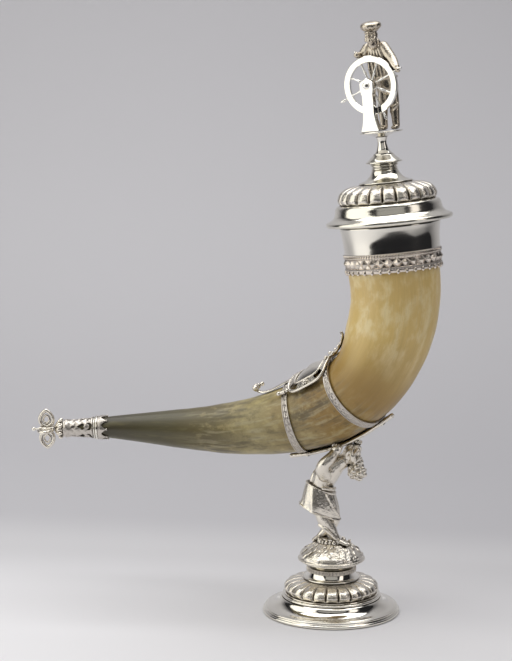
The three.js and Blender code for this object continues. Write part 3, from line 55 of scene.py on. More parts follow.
# %% One class for shader sockets
class Wire:
    def __init__(self, tree, socket=None):
        self.tree = tree
        self.socket = socket

    def node(self, kind, settings=None, values=None, out=0):
        made = self.tree.nodes.new(kind)
        for name, value in (settings or {}).items():
            setattr(made, name, value)
        for name, value in (values or {}).items():
            if isinstance(value, Wire):
                self.tree.links.new(value.socket, made.inputs[name])
            else:
                made.inputs[name].default_value = value
        return Wire(self.tree, made.outputs[out])

    def sum(self, operation, first, second):
        return self.node("ShaderNodeMath", {"operation": operation}, {0: first, 1: second})

    def __add__(self, other):
        return self.sum("ADD", self, other)

    def __sub__(self, other):
        return self.sum("SUBTRACT", self, other)

    def __mul__(self, other):
        return self.sum("MULTIPLY", self, other)

    def __truediv__(self, other):
        return self.sum("DIVIDE", self, other)

    def __rsub__(self, other):
        return self.sum("SUBTRACT", other, self)

    __radd__ = __add__
    __rmul__ = __mul__

    def between(self, low, high):
        values = {"Value": self, "From Min": low, "From Max": high}
        return self.node("ShaderNodeMapRange", {"interpolation_type": "SMOOTHSTEP"}, values)

    def mix(self, first, second):
        return self.node("ShaderNodeMix", {"data_type": "RGBA"}, {0: self, 6: first, 7: second}, 2)

    def stretched(self, x, y, z):
        return self.node("ShaderNodeVectorMath", {"operation": "MULTIPLY"}, {0: self, 1: (x, y, z)})

    def noise(self, scale, detail=3.0, rough=0.55):
        values = {"Vector": self, "Scale": scale, "Detail": detail, "Roughness": rough}
        return self.node("ShaderNodeTexNoise", None, values)

    def into(self, node, name):
        self.tree.links.new(self.socket, node.inputs[name])


def linear(red, green, blue):
    shares = [value / 255 for value in (red, green, blue)]
    return (*[s / 12.92 if s <= 0.04045 else ((s + 0.055) / 1.055) ** 2.4 for s in shares], 1.0)


def new_material(name):
    material = bpy.data.materials.new(name)
    material.use_nodes = True
    return material, material.node_tree.nodes["Principled BSDF"], Wire(material.node_tree)


# %% [markdown]
# ## Silver
# Polished silver is nearly a mirror, warm, and it darkens where a cloth can't reach. An ambient
# occlusion node with a short reach finds those hollows. Cast and frosted silver are the same metal with
# an uneven skin.


# %% Seven silvers and the iron inside
def silver_material(name, bright, dull, roughness, reach, grain):
    material, shader, wire = new_material(name)
    place = wire.node("ShaderNodeTexCoord", None, None, "Object")
    settings = {"samples": 8}
    open_air = wire.node("ShaderNodeAmbientOcclusion", settings, {"Distance": reach * MM}, "AO")
    clean = open_air.between(0.3, 0.85)
    clean.mix(dull, bright).into(shader, "Base Color")
    cloudy = place.noise(90.0)
    (roughness + 0.08 * cloudy + 0.12 * (1 - clean)).into(shader, "Roughness")
    if grain:
        uneven = 0.25 * place.noise(2600.0, 2.0) + place.noise(330.0, 2.0)
        bump = wire.node("ShaderNodeBump", None, {"Strength": grain, "Distance": 0.8 * MM, "Height": uneven})
        bump.into(shader, "Normal")
    shader.inputs["Metallic"].default_value = 1.0
    return material


POLISHED = silver_material("polished silver", (0.90, 0.87, 0.79, 1), (0.30, 0.25, 0.18, 1), 0.06, 1.6, 0)
CAST = silver_material("cast silver", (0.85, 0.80, 0.71, 1), (0.11, 0.085, 0.055, 1), 0.17, 2.4, 0.5)
# Painted shade: this darker copy of cast silver dresses the helmsman and paints the shade he stands in behind
# the wheel.
SHADED_CAST = silver_material("cast silver with painted shade", (0.62, 0.555, 0.46, 1), (0.07, 0.05, 0.032, 1), 0.18, 3.0, 0.4)
FROSTED = silver_material("frosted silver", (0.58, 0.54, 0.49, 1), (0.09, 0.07, 0.055, 1), 0.28, 1.0, 0.3)
# Painted highlight: a lighter copy of polished silver for the wheel, post and axle, which paints the white
# highlight they carry.
HIGHLIGHT_SILVER = silver_material("silver lightened for painted highlight", (0.97, 0.96, 0.92, 1), (0.45, 0.40, 0.32, 1), 0.05, 1.0, 0)
WORN = silver_material("worn silver", (0.86, 0.83, 0.74, 1), (0.26, 0.21, 0.15, 1), 0.13, 1.6, 0)
CHASED = silver_material("chased silver", (0.78, 0.71, 0.63, 1), (0.05, 0.036, 0.028, 1), 0.15, 1.5, 0.12)

IRON, iron_shader, _ = new_material("tie rod iron")
iron_shader.inputs["Base Color"].default_value = (0.28, 0.27, 0.25, 1)
iron_shader.inputs["Metallic"].default_value = 1.0
iron_shader.inputs["Roughness"].default_value = 0.4
finishes = (POLISHED, HIGHLIGHT_SILVER, WORN, CAST, CHASED, SHADED_CAST, FROSTED, IRON)
print("materials:", [material.name for material in finishes])

# %% [markdown]
# ## Skins over rings
# Most pieces are a skin stretched over rings of points: a lathe turns a profile into rings, a limb
# carries rings along a curve. Points are in millimetres until `make_piece` turns them into metres.


# %% Skins, curves and pieces
def unit(vectors):
    vectors = np.asarray(vectors, float)
    return vectors / np.maximum(np.linalg.norm(vectors, axis=-1, keepdims=True), 1e-12)


def skin(rings, loop=False):
    rings = np.asarray(rings, float)
    count, sides = rings.shape[:2]
    row = np.arange(count if loop else count - 1)[:, None] * sides
    above = (row + sides) % (count * sides)
    column = np.arange(sides)[None, :]
    beside = (column + 1) % sides
    quads = np.stack([row + column, row + beside, above + beside, above + column], -1)
    faces = quads.reshape(-1, 4).tolist()
    if not loop:
        faces.append(list(range(sides))[::-1])
        faces.append(list(range((count - 1) * sides, count * sides)))
    return rings.reshape(-1, 3), faces


def gathered(skins):
    points, faces, shift = [], [], 0
    for some_points, some_faces in skins:
        points.append(some_points)
        faces += [[index + shift for index in face] for face in some_faces]
        shift += len(some_points)
    return np.concatenate(points), faces


def curve(stops, count):
    stops = np.asarray(stops, float)
    line = np.vstack([2 * stops[0] - stops[1], stops, 2 * stops[-1] - stops[-2]])
    place = np.linspace(0, len(stops) - 1, count)
    at = np.minimum(place.astype(int), len(stops) - 2)
    t = (place - at)[:, None]
    a, b, c, d = (line[at + k] for k in range(4))
    return 0.5 * (2 * b + (c - a) * t + (2 * a - 5 * b + 4 * c - d) * t**2 + (3 * b - a - 3 * c + d) * t**3)


def new_mesh_object(name, skins, material, sharp):
    points, faces = gathered(skins)
    mesh = bpy.data.meshes.new(name)
    mesh.from_pydata((points * MM).tolist(), [], faces)
    mesh.materials.append(material)
    mesh.shade_smooth()
    mesh.set_sharp_from_angle(angle=math.radians(sharp))
    made = bpy.data.objects.new(name, mesh)
    bpy.context.scene.collection.objects.link(made)
    return made


def settle(made, nodes, body):
    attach(made, body)
    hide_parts(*nodes)
    print(made.name, "faces:", len(made.data.polygons))
    return made


def make_piece(node, skins, material=POLISHED, body="stand", sharp=38):
    made = new_mesh_object("fine_" + node, skins, material, sharp)
    return settle(made, [node], body)


# %% [markdown]
# ## The horn's own line
# The horn is a solid swept along a line that tightens as it nears the mouth and sways sideways on the
# way. We follow the CAD's line exactly, so that straps and mounts sit where the CAD holds them. A
# station is a distance in millimetres along that line from the crown at the tip.

# %% The line of the horn
TIP_STRAIGHT, RAMP_LENGTH, BEND_RADIUS = 42.0, 200.0, 109.0
TIP_SLOPE, DROOP_LENGTH, MOUTH_LEAN, MOUTH_STRAIGHT = 2.2, 14.0, 6.2, 7.3
REAR_STRAP, FRONT_STRAP, CARRY = 166.2, 225.4, 194.0
SWAY_STATIONS = [0.0, REAR_STRAP, FRONT_STRAP, FRONT_STRAP + 50.0]
SWAY_DEGREES = [-6.0, 8.5, 24.0, -2.5]
ARC_LENGTH = BEND_RADIUS * math.radians(90 + MOUTH_LEAN) - RAMP_LENGTH / 2
MOUTH = TIP_STRAIGHT + RAMP_LENGTH + ARC_LENGTH + MOUTH_STRAIGHT
TIP_SOCKET, LIP = 24.0, MOUTH + 34.8
CARRIED_POINT = np.array([14.9, 0.0, 138.5])
BAR_UNDER_HORN = 7.0


def heading(station):
    droop = math.radians(TIP_SLOPE) * np.clip(1 - station / DROOP_LENGTH, 0, None)
    ramp = np.clip(station - TIP_STRAIGHT, 0, RAMP_LENGTH)
    arc = np.clip(station - TIP_STRAIGHT - RAMP_LENGTH, 0, ARC_LENGTH)
    tightening = ramp**2 / (2 * RAMP_LENGTH * BEND_RADIUS)
    return np.minimum(droop, math.radians(TIP_SLOPE)) + tightening + arc / BEND_RADIUS


def horn_way(station):
    station = np.asarray(station, float)
    rise = heading(station)
    turn = np.radians(np.interp(station, SWAY_STATIONS, SWAY_DEGREES))
    return np.stack([np.cos(rise) * np.cos(turn), -np.sin(turn), np.sin(rise) * np.cos(turn)], -1)


def crest_way(station):
    rise = heading(np.asarray(station, float))
    return np.stack([-np.sin(rise), 0 * rise, np.cos(rise)], -1)


def side_way(station):
    return np.cross(crest_way(station), horn_way(station))


def horn_radius(station):
    station = np.minimum(station, MOUTH)
    taper = 8.2 + 0.12 * station
    body = 31 + 0.033 * (station - 175)
    return (taper + body - np.hypot(taper - body, 1.5)) / 2


PATH_STEP = 0.5
path_stations = np.arange(-TIP_SOCKET, LIP + 1, PATH_STEP)
path_points = np.vstack([np.zeros(3), np.cumsum(horn_way(path_stations + PATH_STEP / 2) * PATH_STEP, 0)[:-1]])
bar_depth = horn_radius(CARRY) + BAR_UNDER_HORN
at_carry = [np.interp(CARRY, path_stations, path_points[:, axis]) for axis in range(3)]
path_points += CARRIED_POINT + bar_depth * crest_way(CARRY) - np.array(at_carry)


def horn_centre(station):
    return np.stack([np.interp(station, path_stations, path_points[:, axis]) for axis in range(3)], -1)


FLAT_DEPTH, FLAT_STATION, FLAT_REACH = 5.0, 236.0, 44.0


def crest_flat(station):
    away = np.clip(np.abs(np.asarray(station, float) - FLAT_STATION) / FLAT_REACH, 0, 1)
    return FLAT_DEPTH * (1 + np.cos(math.pi * away)) / 2


def on_horn(station, angle, lift):
    station, angle, lift = np.broadcast_arrays(*(np.asarray(v, float) for v in (station, angle, lift)))
    out = crest_way(station) * np.cos(angle)[..., None] + side_way(station) * np.sin(angle)[..., None]
    return horn_centre(station) + out * (horn_radius(station) + lift)[..., None]


print("mouth at", horn_centre(MOUTH).round(1), "radius", round(float(horn_radius(MOUTH)), 2))

# %% [markdown]
# ## The horn
# One hollow shell: rings run up the outside, turn over the lip and come back down the inside. Each
# point also keeps its place on the horn as if it were straightened, so that streaks in the material can
# follow the growth.


# %% The horn's shell
HORN_SIDES, HORN_WALL = 96, 3.2
around = np.linspace(0, TURN, HORN_SIDES, endpoint=False)


def horn_rings(stations, radii):
    u = crest_way(stations)[:, None] * np.cos(around)[None, :, None]
    v = side_way(stations)[:, None] * np.sin(around)[None, :, None]
    reach = radii[:, None] - crest_flat(stations)[:, None] * np.clip(np.cos(around), 0, 1) ** 2
    return horn_centre(stations)[:, None] + (u + v) * reach[..., None]


def growth_ripple(stations):
    fade = np.clip((stations - 20) / 60, 0, 1) * np.clip((MOUTH - stations) / 30, 0, 1)
    return 0.12 * fade * (np.sin(stations / 7.3) + 0.6 * np.sin(stations / 3.1 + 1))


spigot = np.linspace(-TIP_SOCKET, 0, 8)
spigot_radii = 7.6 + 0.084 * spigot
outside = np.linspace(0, LIP, 260)
inside = np.linspace(LIP, 116, 90)
hollow = np.sqrt(np.clip(1 - np.clip(1 - (inside - 112) / 26, 0, 1) ** 2, 0.01, 1))
outside_radii = horn_radius(outside) + growth_ripple(outside)
shell = [
    horn_rings(spigot, spigot_radii),
    horn_rings(outside, outside_radii),
    horn_rings(inside, (horn_radius(inside) - HORN_WALL) * hollow),
]
horn_skin = skin(np.concatenate(shell))

# %% [markdown]
# Cow horn is olive and nearly black at the tip, streaked with grey and cream in the middle, and honey
# coloured where it was thin and hollow. Towards the mouth that honey tone is also raised to paint the light
# on the horn there, and pale clouds near the mouth are a painted highlight. A ramp along the station sets
# the tone; stretched noise draws the fibres.


# %% The horn's material
def tone_ramp(wire, share, stops):
    made = wire.node("ShaderNodeValToRGB", None, {"Fac": share})
    ramp = made.socket.node.color_ramp
    ramp.interpolation = "EASE"
    while len(ramp.elements) < len(stops):
        ramp.elements.new(1.0)
    for element, (place, colour) in zip(ramp.elements, stops):
        element.position = place
        element.color = linear(*colour)
    return made


def horn_material():
    material, shader, wire = new_material("polished horn")
    straight = wire.node("ShaderNodeAttribute", {"attribute_name": "straight"}, None, "Vector")
    parts = straight.node("ShaderNodeSeparateXYZ", None, {"Vector": straight})
    station = Wire(wire.tree, parts.socket.node.outputs[0])
    upward = Wire(wire.tree, parts.socket.node.outputs[1])
    drift = straight.stretched(0.01, 0.03, 0.03).noise(1.0, 4.0) - 0.5
    share = (station + 34 * drift) / MOUTH
    # Partly painted light: the honey tones at the mouth end are real, and they are raised further to paint
    # the light on the horn there.
    tone = tone_ramp(wire, share, [
        (0.0, (64, 59, 42)), (0.14, (80, 75, 50)), (0.28, (102, 92, 58)), (0.40, (160, 147, 102)),
        (0.52, (156, 136, 88)), (0.62, (152, 121, 60)), (0.72, (166, 133, 68)), (0.86, (228, 198, 126)),
        (1.0, (224, 194, 126))])
    fibre = straight.stretched(0.018, 0.30, 0.30).noise(1.0, 4.0, 0.55)
    fine_fibre = straight.stretched(0.03, 1.6, 1.6).noise(1.0, 3.0)
    blotch = straight.stretched(0.020, 0.11, 0.11).noise(1.0, 3.0, 0.55)
    cloud = straight.stretched(0.04, 0.065, 0.065).noise(1.3, 5.0, 0.6)
    tip_zone = 1 - station.between(70.0, 120.0)
    middle_zone = station.between(60.0, 110.0) * (1 - station.between(215.0, 250.0))
    mouth_highlight_zone = station.between(248.0, 286.0)
    between_straps = station.between(168.0, 184.0) * (1 - station.between(206.0, 228.0))
    shade_zone = between_straps * upward.between(-2.0, 16.0)
    colour = (0.45 * tip_zone * fibre.between(0.48, 0.66)).mix(tone, linear(112, 106, 70))
    colour = (0.55 * middle_zone * fibre.between(0.50, 0.68)).mix(colour, linear(186, 176, 142))
    colour = (0.60 * middle_zone * blotch.between(0.50, 0.66)).mix(colour, linear(74, 68, 50))
    colour = (0.42 * shade_zone * cloud.between(0.34, 0.60)).mix(colour, linear(66, 63, 56))
    # Painted highlight: pale cream clouds near the mouth paint the soft light on the horn there.
    colour = (0.70 * mouth_highlight_zone * cloud.between(0.42, 0.68)).mix(colour, linear(248, 232, 184))
    mottle = straight.stretched(0.10, 0.13, 0.13).noise(1.0, 5.0, 0.65)
    colour = (0.45 * middle_zone * mottle.between(0.50, 0.66)).mix(colour, linear(196, 180, 128))
    colour = (0.40 * middle_zone * (1 - mottle.between(0.34, 0.48))).mix(colour, linear(84, 74, 48))
    brown = (0.5 * fibre).mix(colour, linear(84, 70, 42))
    colour = (0.30 * fine_fibre.between(0.40, 0.65)).mix(colour, brown)
    colour.into(shader, "Base Color")
    (0.30 + 0.16 * fibre).into(shader, "Roughness")
    shader.inputs["Coat Weight"].default_value = 0.15
    shader.inputs["Coat Roughness"].default_value = 0.25
    return material


HORN = horn_material()
horn_shell = new_mesh_object("polished_horn", [horn_skin], HORN, 60)
ring_stations = np.concatenate([spigot, outside, inside])
ring_radii = np.concatenate([spigot_radii, outside_radii, horn_radius(inside)])
straightened = np.stack([
    np.repeat(ring_stations[:, None], HORN_SIDES, 1),
    ring_radii[:, None] * np.cos(around),
    ring_radii[:, None] * np.sin(around),
], -1)
straight = horn_shell.data.attributes.new("straight", "FLOAT_VECTOR", "POINT")
straight.data.foreach_set("vector", straightened.astype(np.float32).ravel())
settle(horn_shell, ["horn"], "stand")

# %% [markdown]
# ## Turned pieces
# The foot, the mouth mount and the lid are turned or raised on a wheel, so each is a profile of radius
# and height swept about an axis. `shape` may push the rings in and out to make lobes, beads and leaves.


# %% Seats and turning
class Seat:
    def __init__(self, origin, axes):
        self.origin = np.asarray(origin, float)
        self.axes = np.asarray(axes, float)

    def place(self, points):
        return self.origin + np.asarray(points, float) @ self.axes

    def raised(self, height, degrees=0.0):
        c, s = math.cos(math.radians(degrees)), math.sin(math.radians(degrees))
        spin = np.array([[c, s, 0], [-s, c, 0], [0, 0, 1]])
        return Seat(self.place([0, 0, height]), spin @ self.axes)


GROUND = Seat([0, 0, 0], np.eye(3))
MOUTH_SEAT = Seat(horn_centre(MOUTH), [-crest_way(MOUTH), side_way(MOUTH), horn_way(MOUTH)])
TIP_SEAT = Seat(horn_centre(0.0), [crest_way(0.0), side_way(0.0), -horn_way(0.0)])


def turned(profile, seat=GROUND, sides=144, shape=None, loop=True):
    profile = np.asarray(profile, float)
    angle = np.linspace(0, TURN, sides, endpoint=False)[None, :]
    radius = profile[:, :1] + 0 * angle
    height = profile[:, 1:] + 0 * angle
    if shape:
        radius, height = shape(radius, height, angle)
    rings = np.stack([radius * np.cos(angle), radius * np.sin(angle), height], -1)
    return skin(seat.place(rings), loop)


def bend(stops, count=24):
    return curve(stops, count).tolist()


def torus_edge(radius, height, size, count=9):
    angle = np.linspace(-math.pi / 2, math.pi / 2, count)
    return np.stack([radius + size * np.cos(angle), height + size * np.sin(angle)], -1).tolist()


def ball(centre, radii, axes=None, sides=16):
    radii = np.broadcast_to(np.asarray(radii, float), 3)
    axes = np.eye(3) if axes is None else np.asarray(axes, float)
    tilt = np.linspace(-math.pi / 2 + 0.12, math.pi / 2 - 0.12, sides // 2 + 1)[:, None]
    angle = np.linspace(0, TURN, sides, endpoint=False)[None, :]
    level = np.sin(tilt) + 0 * angle
    rings = np.stack([np.cos(tilt) * np.cos(angle), np.cos(tilt) * np.sin(angle), level], -1)
    return skin(np.asarray(centre, float) + (rings * radii) @ axes)


# %% [markdown]
# ## The foot
# From the table up: a wide dish with a moulded rim, a step ring, a ring of gadroons, a waisted socle
# with a fine beaded band, and a rough mound. Gadroons are broad lobes with narrow darts between them:
# each groove is cut only where a wave comes near zero.


# %% Gadroons
GADROONS, GADROON_SIDES = 22, 22 * 20


def gadroons(lobes, depth, inner, outer, low):
    def shape(radius, height, angle):
        reach = np.clip((radius - inner) / (outer - inner), 0, 1) * np.clip((height - low) / 2.2, 0, 1)
        wave = np.abs(np.cos(lobes * angle / 2))
        groove = np.clip(1 - wave / 0.45, 0, 1) ** 1.5 + 0.35 * (1 - wave**2)
        return radius - depth * reach * groove, height - 0.3 * depth * reach * groove
    return shape


# %% Dish, step ring, gadroons and socle
dish = [[46, 0], [54.9, 0], [55.7, 0.5], [56, 1.4], [55.9, 2.2], [55.3, 2.8], [54.7, 3.0], [54.5, 3.4]]
dish += torus_edge(53.4, 4.4, 0.95)[2:] + [[52.6, 5.5], [52.4, 5.7]]
dish += bend([[52.2, 5.8], [47.5, 6.7], [43.6, 9.2], [41.6, 12.0], [40.6, 12.9]], 20)
make_piece("foot_dish", [turned(dish + [[36, 12.9], [36, 11.4], [45, 5], [46, 3]])])

step = [[17, 13.2], [39.6, 13.2]] + torus_edge(39.5, 14.2, 0.95) + [[39.3, 15.3]]
make_piece("foot_step_ring", [turned(step + torus_edge(38.1, 15.8, 0.5, 5) + [[37.6, 16.4], [17, 16.4]])])

lobe_profile = [[17, 16.5], [36.0, 16.5]] + bend([[36.6, 16.7], [38.5, 19.2], [38.6, 21.2], [36.4, 24.4],
    [31.2, 26.6], [25.4, 27.4], [22.4, 27.7]], 34) + [[21.4, 27.9], [17, 27.9]]
foot_lobes = gadroons(GADROONS, 2.3, 21.5, 33, 16.8)
make_piece("foot_gadroon_ring", [turned(lobe_profile, sides=GADROON_SIDES, shape=foot_lobes)], CAST)

waist = [[3, 28.0], [22.4, 28.0]] + torus_edge(22.2, 28.7, 0.65) + [[20.0, 29.5]]
waist += bend([[19.6, 29.8], [18.5, 31.5], [17.4, 34.0], [17.4, 37.2], [18.6, 39.4], [20.4, 40.6]], 18)
waist += [[22.6, 41.0]] + torus_edge(23.2, 42.2, 0.85) + [[22.8, 43.2], [3, 43.2]]
make_piece("socle", [turned(waist)])


def teeth(count, depth, inner):
    def shape(radius, height, angle):
        wave = np.clip(2.5 * np.cos(count * angle), -1, 1)
        return np.where(radius > inner, radius - depth * (1 - wave) / 2, radius), height
    return shape


band = [[18.2, 34.0], [19.6, 34.0], [20.3, 34.5], [20.5, 35.6], [20.3, 36.7], [19.6, 37.2], [18.2, 37.2]]
make_piece("socle_bead_ring", [turned(band, sides=44 * 8, shape=teeth(44, 0.9, 19.0))], FROSTED)

# %% [markdown]
# The mound is a dome of rock with leaves cast on it. We raise seeded lumps on a turned dome, lay three
# rows of leaves on it, let a few sprigs stand where the bearer's foot steps out, and set stones round
# the figure.

# %% The rock mound
rng = np.random.default_rng(11)
LUMP_ANGLES = rng.uniform(0, TURN, 60)
LUMP_HEIGHTS = rng.uniform(46.5, 57.0, 60)
LUMP_SIZES = rng.uniform(0.6, 1.5, 60)


def rocky(radius, height, angle):
    lift = 0 * radius
    for where, level, size in zip(LUMP_ANGLES, LUMP_HEIGHTS, LUMP_SIZES):
        across = (np.mod(angle - where + math.pi, TURN) - math.pi) * radius
        away = np.hypot(across, 1.5 * (height - level)) / (2.2 * size)
        lift = np.maximum(lift, 0.45 * size * np.clip(1 - away**2, 0, 1))
    fan = np.clip(np.cos(6 * angle) - 0.35, 0, 1) * np.abs(np.cos(42 * angle))
    on_dome = np.clip((height - 45.6) / 2.0, 0, 1) * np.clip((radius - 9) / 3, 0, 1)
    return radius + on_dome * (lift + 0.4 * fan), height + 0.35 * on_dome * lift


mound = [[3, 43.3], [26.6, 43.3]] + torus_edge(26.6, 44.3, 0.9) + [[26.4, 45.4]]
dome_line = [[26.2, 45.6], [25.0, 48.6], [21.6, 51.8], [17.4, 54.8], [13.0, 57.2], [9.6, 58.6]]
mound += bend(dome_line, 40) + [[3, 58.8]]


def leaf(root, tip, width, lift):
    root, tip = np.asarray(root, float), np.asarray(tip, float)
    along = unit(tip - root)
    across = unit(np.cross(along, [0.0, 0.0, 1.0]))
    out = np.cross(across, along)
    middle = (root + tip) / 2 + lift * out
    reach = np.linalg.norm(tip - root) / 2
    return ball(middle, [width, 0.5 * width, reach], [across, out, along], 12)


def dome_place(far, turn_at, lift=0.0):
    distances, levels = np.array(dome_line[:0:-1]).T
    level = np.interp(far, distances, levels)
    return np.array([far * math.cos(turn_at), far * math.sin(turn_at), level + lift])


sprigs = []
for row, (far, reach) in enumerate(((24.0, 4.2), (20.0, 4.2), (16.0, 3.6))):
    for k in range(13):
        turn_at = TURN * (k + 0.5 * row) / 13 + rng.uniform(-0.08, 0.08)
        tip_turn = turn_at + rng.uniform(-0.12, 0.12)
        sprigs.append(leaf(dome_place(far, turn_at), dome_place(far - reach, tip_turn), 1.6, 0.25))
for turn_at in np.linspace(-0.7, 0.5, 7):
    low = rng.uniform(13.5, 16.0)
    sprigs.append(leaf(dome_place(low, turn_at), dome_place(low + 1.4, turn_at, 3.4), 1.0, 0.2))
for k in range(20):
    turn_at = TURN * k / 20
    size = rng.uniform(1.3, 2.0)
    sprigs.append(ball(dome_place(10.2, turn_at, 0.5), [size, size, 1.4 * size], None, 10))
make_piece("rock_mound", [turned(mound, sides=260, shape=rocky), *sprigs], CAST)

# %% [markdown]
# ## Cast figures
# A casting is one skin, so a figure's piece is first roughed out as overlapping limbs, balls and folds,
# and a voxel remesh then melts them together, much as wax is worked over an armature before it is cast.


# %% Limbs, tubes and casts
def limb(stops, across=(0, 1, 0), rings=22, sides=18):
    line = curve(stops, rings)
    centre, wide, deep = line[:, :3], line[:, 3], line[:, 4]
    along = unit(np.gradient(centre, axis=0))
    across = np.asarray(across, float)
    u = unit(across - along * (along @ across)[:, None])
    v = np.cross(along, u)
    angle = np.linspace(0, TURN, sides, endpoint=False)

    def ring(i, scale, push):
        middle = centre[i] + along[i] * push * min(wide[i], deep[i])
        turn_u = np.outer(np.cos(angle), u[i]) * wide[i]
        turn_v = np.outer(np.sin(angle), v[i]) * deep[i]
        return middle + scale * (turn_u + turn_v)

    domes = np.linspace(0.1, 1, 5)[:-1] * math.pi / 2
    start = [ring(0, math.cos(t), -math.sin(t)) for t in domes[::-1]]
    body = [ring(i, 1, 0) for i in range(rings)]
    end = [ring(rings - 1, math.cos(t), math.sin(t)) for t in domes]
    return skin(np.array(start + body + end))


def tube(points, radius, up, sides=12, loop=False):
    points = np.asarray(points, float)
    if loop:
        along = unit(np.roll(points, -1, 0) - np.roll(points, 1, 0))
    else:
        along = unit(np.gradient(points, axis=0))
    across = unit(np.cross(along, np.broadcast_to(up, points.shape)))
    over = np.cross(across, along)
    angle = np.linspace(0, TURN, sides, endpoint=False)
    radius = np.broadcast_to(radius, len(points))[:, None, None]
    ring = across[:, None] * np.cos(angle)[None, :, None] + over[:, None] * np.sin(angle)[None, :, None]
    return skin(points[:, None] + radius * ring, loop)


def cast(node, skins, voxel, material=CAST, body="stand", soften=2):
    made = new_mesh_object("fine_" + node, skins, material, 180)
    remesh = made.modifiers.new("melt", "REMESH")
    remesh.mode = "VOXEL"
    remesh.voxel_size = voxel * MM
    remesh.use_smooth_shade = True
    smooth = made.modifiers.new("soften", "SMOOTH")
    smooth.iterations = soften
    ready = made.evaluated_get(bpy.context.evaluated_depsgraph_get())
    melted = bpy.data.meshes.new_from_object(ready)
    made.modifiers.clear()
    made.data = melted
    return settle(made, [node], body)


# %% [markdown]
# ## The bearer
# A bearded figure in a short wrapped kilt bends towards the mouth end and takes the saddle bar on both
# hands. Places are drawn at one height and scaled to the real one. The face is a plain, calm one of
# general proportions, turned down and nearly hidden by hair and beard.

# %% The bearer's drawing
ROCK_TOP = 58.8
BEARER_SCALE = 79.7 / 80.7


def drawn(points):
    points = np.array(points, float)
    placed = points * BEARER_SCALE
    placed[..., 2] += ROCK_TOP
    return placed


def bearer_limb(stops, across=(0, 1, 0), **options):
    return limb(drawn(stops), across, **options)


def bearer_ball(centre, radii, axes=None):
    return ball(drawn(centre), np.multiply(radii, BEARER_SCALE), axes)


# %% Torso and kilt
rib_stops = np.array([[2.0, -8.6, 58, 0.9, 0.9], [3.4, -5.2, 55.4, 1.0, 1.0], [4.2, -1.0, 54.0, 0.9, 0.9]])
next_rib = np.array([-2.2, 0, -3.0, 0, 0])
ribs = [bearer_limb(rib_stops + k * next_rib, (1, 0, 0)) for k in range(3)]
torso = [
    bearer_limb([[-8.5, 0, 43, 9.0, 9.4], [-7.4, 0, 50, 10.2, 9.8], [-4.0, 0, 57, 12.4, 10.4],
        [2.5, 0, 64, 10.5, 8.8], [8.0, 0, 67.4, 7.6, 6.6]]),
    bearer_ball([-3.5, -9.4, 60], [6.0, 4.4, 5.6]),
    bearer_ball([-3.5, 9.4, 60], [6.0, 4.4, 5.6]),
    bearer_limb([[-16.4, -2.4, 47, 1.6, 2.4], [-14.0, -3.0, 55, 1.8, 2.8], [-7.5, -3.0, 65.0, 1.8, 2.6]]),
    bearer_limb([[-16.4, 2.4, 47, 1.6, 2.4], [-14.0, 3.0, 55, 1.8, 2.8], [-7.5, 3.0, 65.0, 1.8, 2.6]]),
    bearer_limb([[6, 0, 65, 6.4, 6.0], [11, 0, 69, 5.6, 5.4], [15.0, 0, 71, 5.0, 5.0]]),
    bearer_limb([[-6.0, -10.6, 46.6, 1.5, 1.5], [1.0, -7.6, 45.4, 1.6, 1.6],
        [2.8, -2.5, 45.2, 1.4, 1.4]], (1, 0, 0)),
    *ribs,
]
cast("bearer_torso", torso, 0.4)


def kilt_ring(level, count=96):
    x, z, reach, fall, width = curve([[-9.6, 25.0, 16.2, 6.6, 12.4], [-9.0, 30, 15.2, 5.8, 12.6],
        [-8.9, 36, 14.2, 4.8, 12.0], [-8.9, 44.6, 12.0, 4.6, 10.6]], 40)[level]
    angle = np.linspace(0, TURN, count, endpoint=False)
    wrap_edge = math.radians(352 - 56 * level / 39)
    wrapped = np.clip((wrap_edge - angle) / 0.07, 0, 1) * (angle > 2.4)
    pleat = 0.05 * (1 - level / 50) * np.sin(13 * angle + 1.2 * level / 39) * (1 - 0.7 * wrapped)
    ridge = np.exp(-(((angle - math.radians(258 - 14 * level / 39)) / 0.22) ** 2))
    fold = 1 + pleat + 0.055 * wrapped + 0.15 * (1 - level / 60) * ridge
    forward = np.cos(angle) * fold
    return drawn(np.stack([x + reach * forward, width * np.sin(angle) * fold, z - fall * np.cos(angle)], -1))


def kilt_line(first, last, count, lift):
    levels = np.linspace(first[1], last[1], count).round().astype(int)
    turns = np.linspace(first[0], last[0], count)
    middle = drawn([-9.0, 0, 34])
    points = []
    for turn_at, level in zip(turns, levels):
        ring = kilt_ring(level)
        place = ring[int(round(turn_at / 360 * 96)) % 96]
        points.append(place + lift * unit((place - middle) * [1, 1, 0]))
    return np.array(points)


kilt_rings = np.array([kilt_ring(level) for level in range(40)])
hem_path = kilt_ring(0)
waist_turns = np.linspace(0, TURN, 90, endpoint=False)
waist_path = drawn(np.stack([-8.9 + 12.0 * np.cos(waist_turns), 10.6 * np.sin(waist_turns),
    45.3 - 4.6 * np.cos(waist_turns)], -1))
roll = []
for phase in (0.0, math.pi):
    swing = 0.3 * np.stack([np.cos(14 * waist_turns + phase) * np.cos(waist_turns),
        np.cos(14 * waist_turns + phase) * np.sin(waist_turns), np.sin(14 * waist_turns + phase)], -1)
    roll.append(tube(waist_path + swing, 0.5, (0, 0, 1), loop=True))
edge = kilt_line((296, 38), (352, 0), 40, 0.6)
kilt = [skin(kilt_rings), tube(hem_path, 0.75, (0, 0, 1), loop=True), *roll, tube(edge, 0.8, (0, 0, 1))]
cast("bearer_kilt", kilt, 0.38)

# %% [markdown]
# The legs cross and wind about each other like a twist of rope, with the near foot stepping to the
# mouth side.

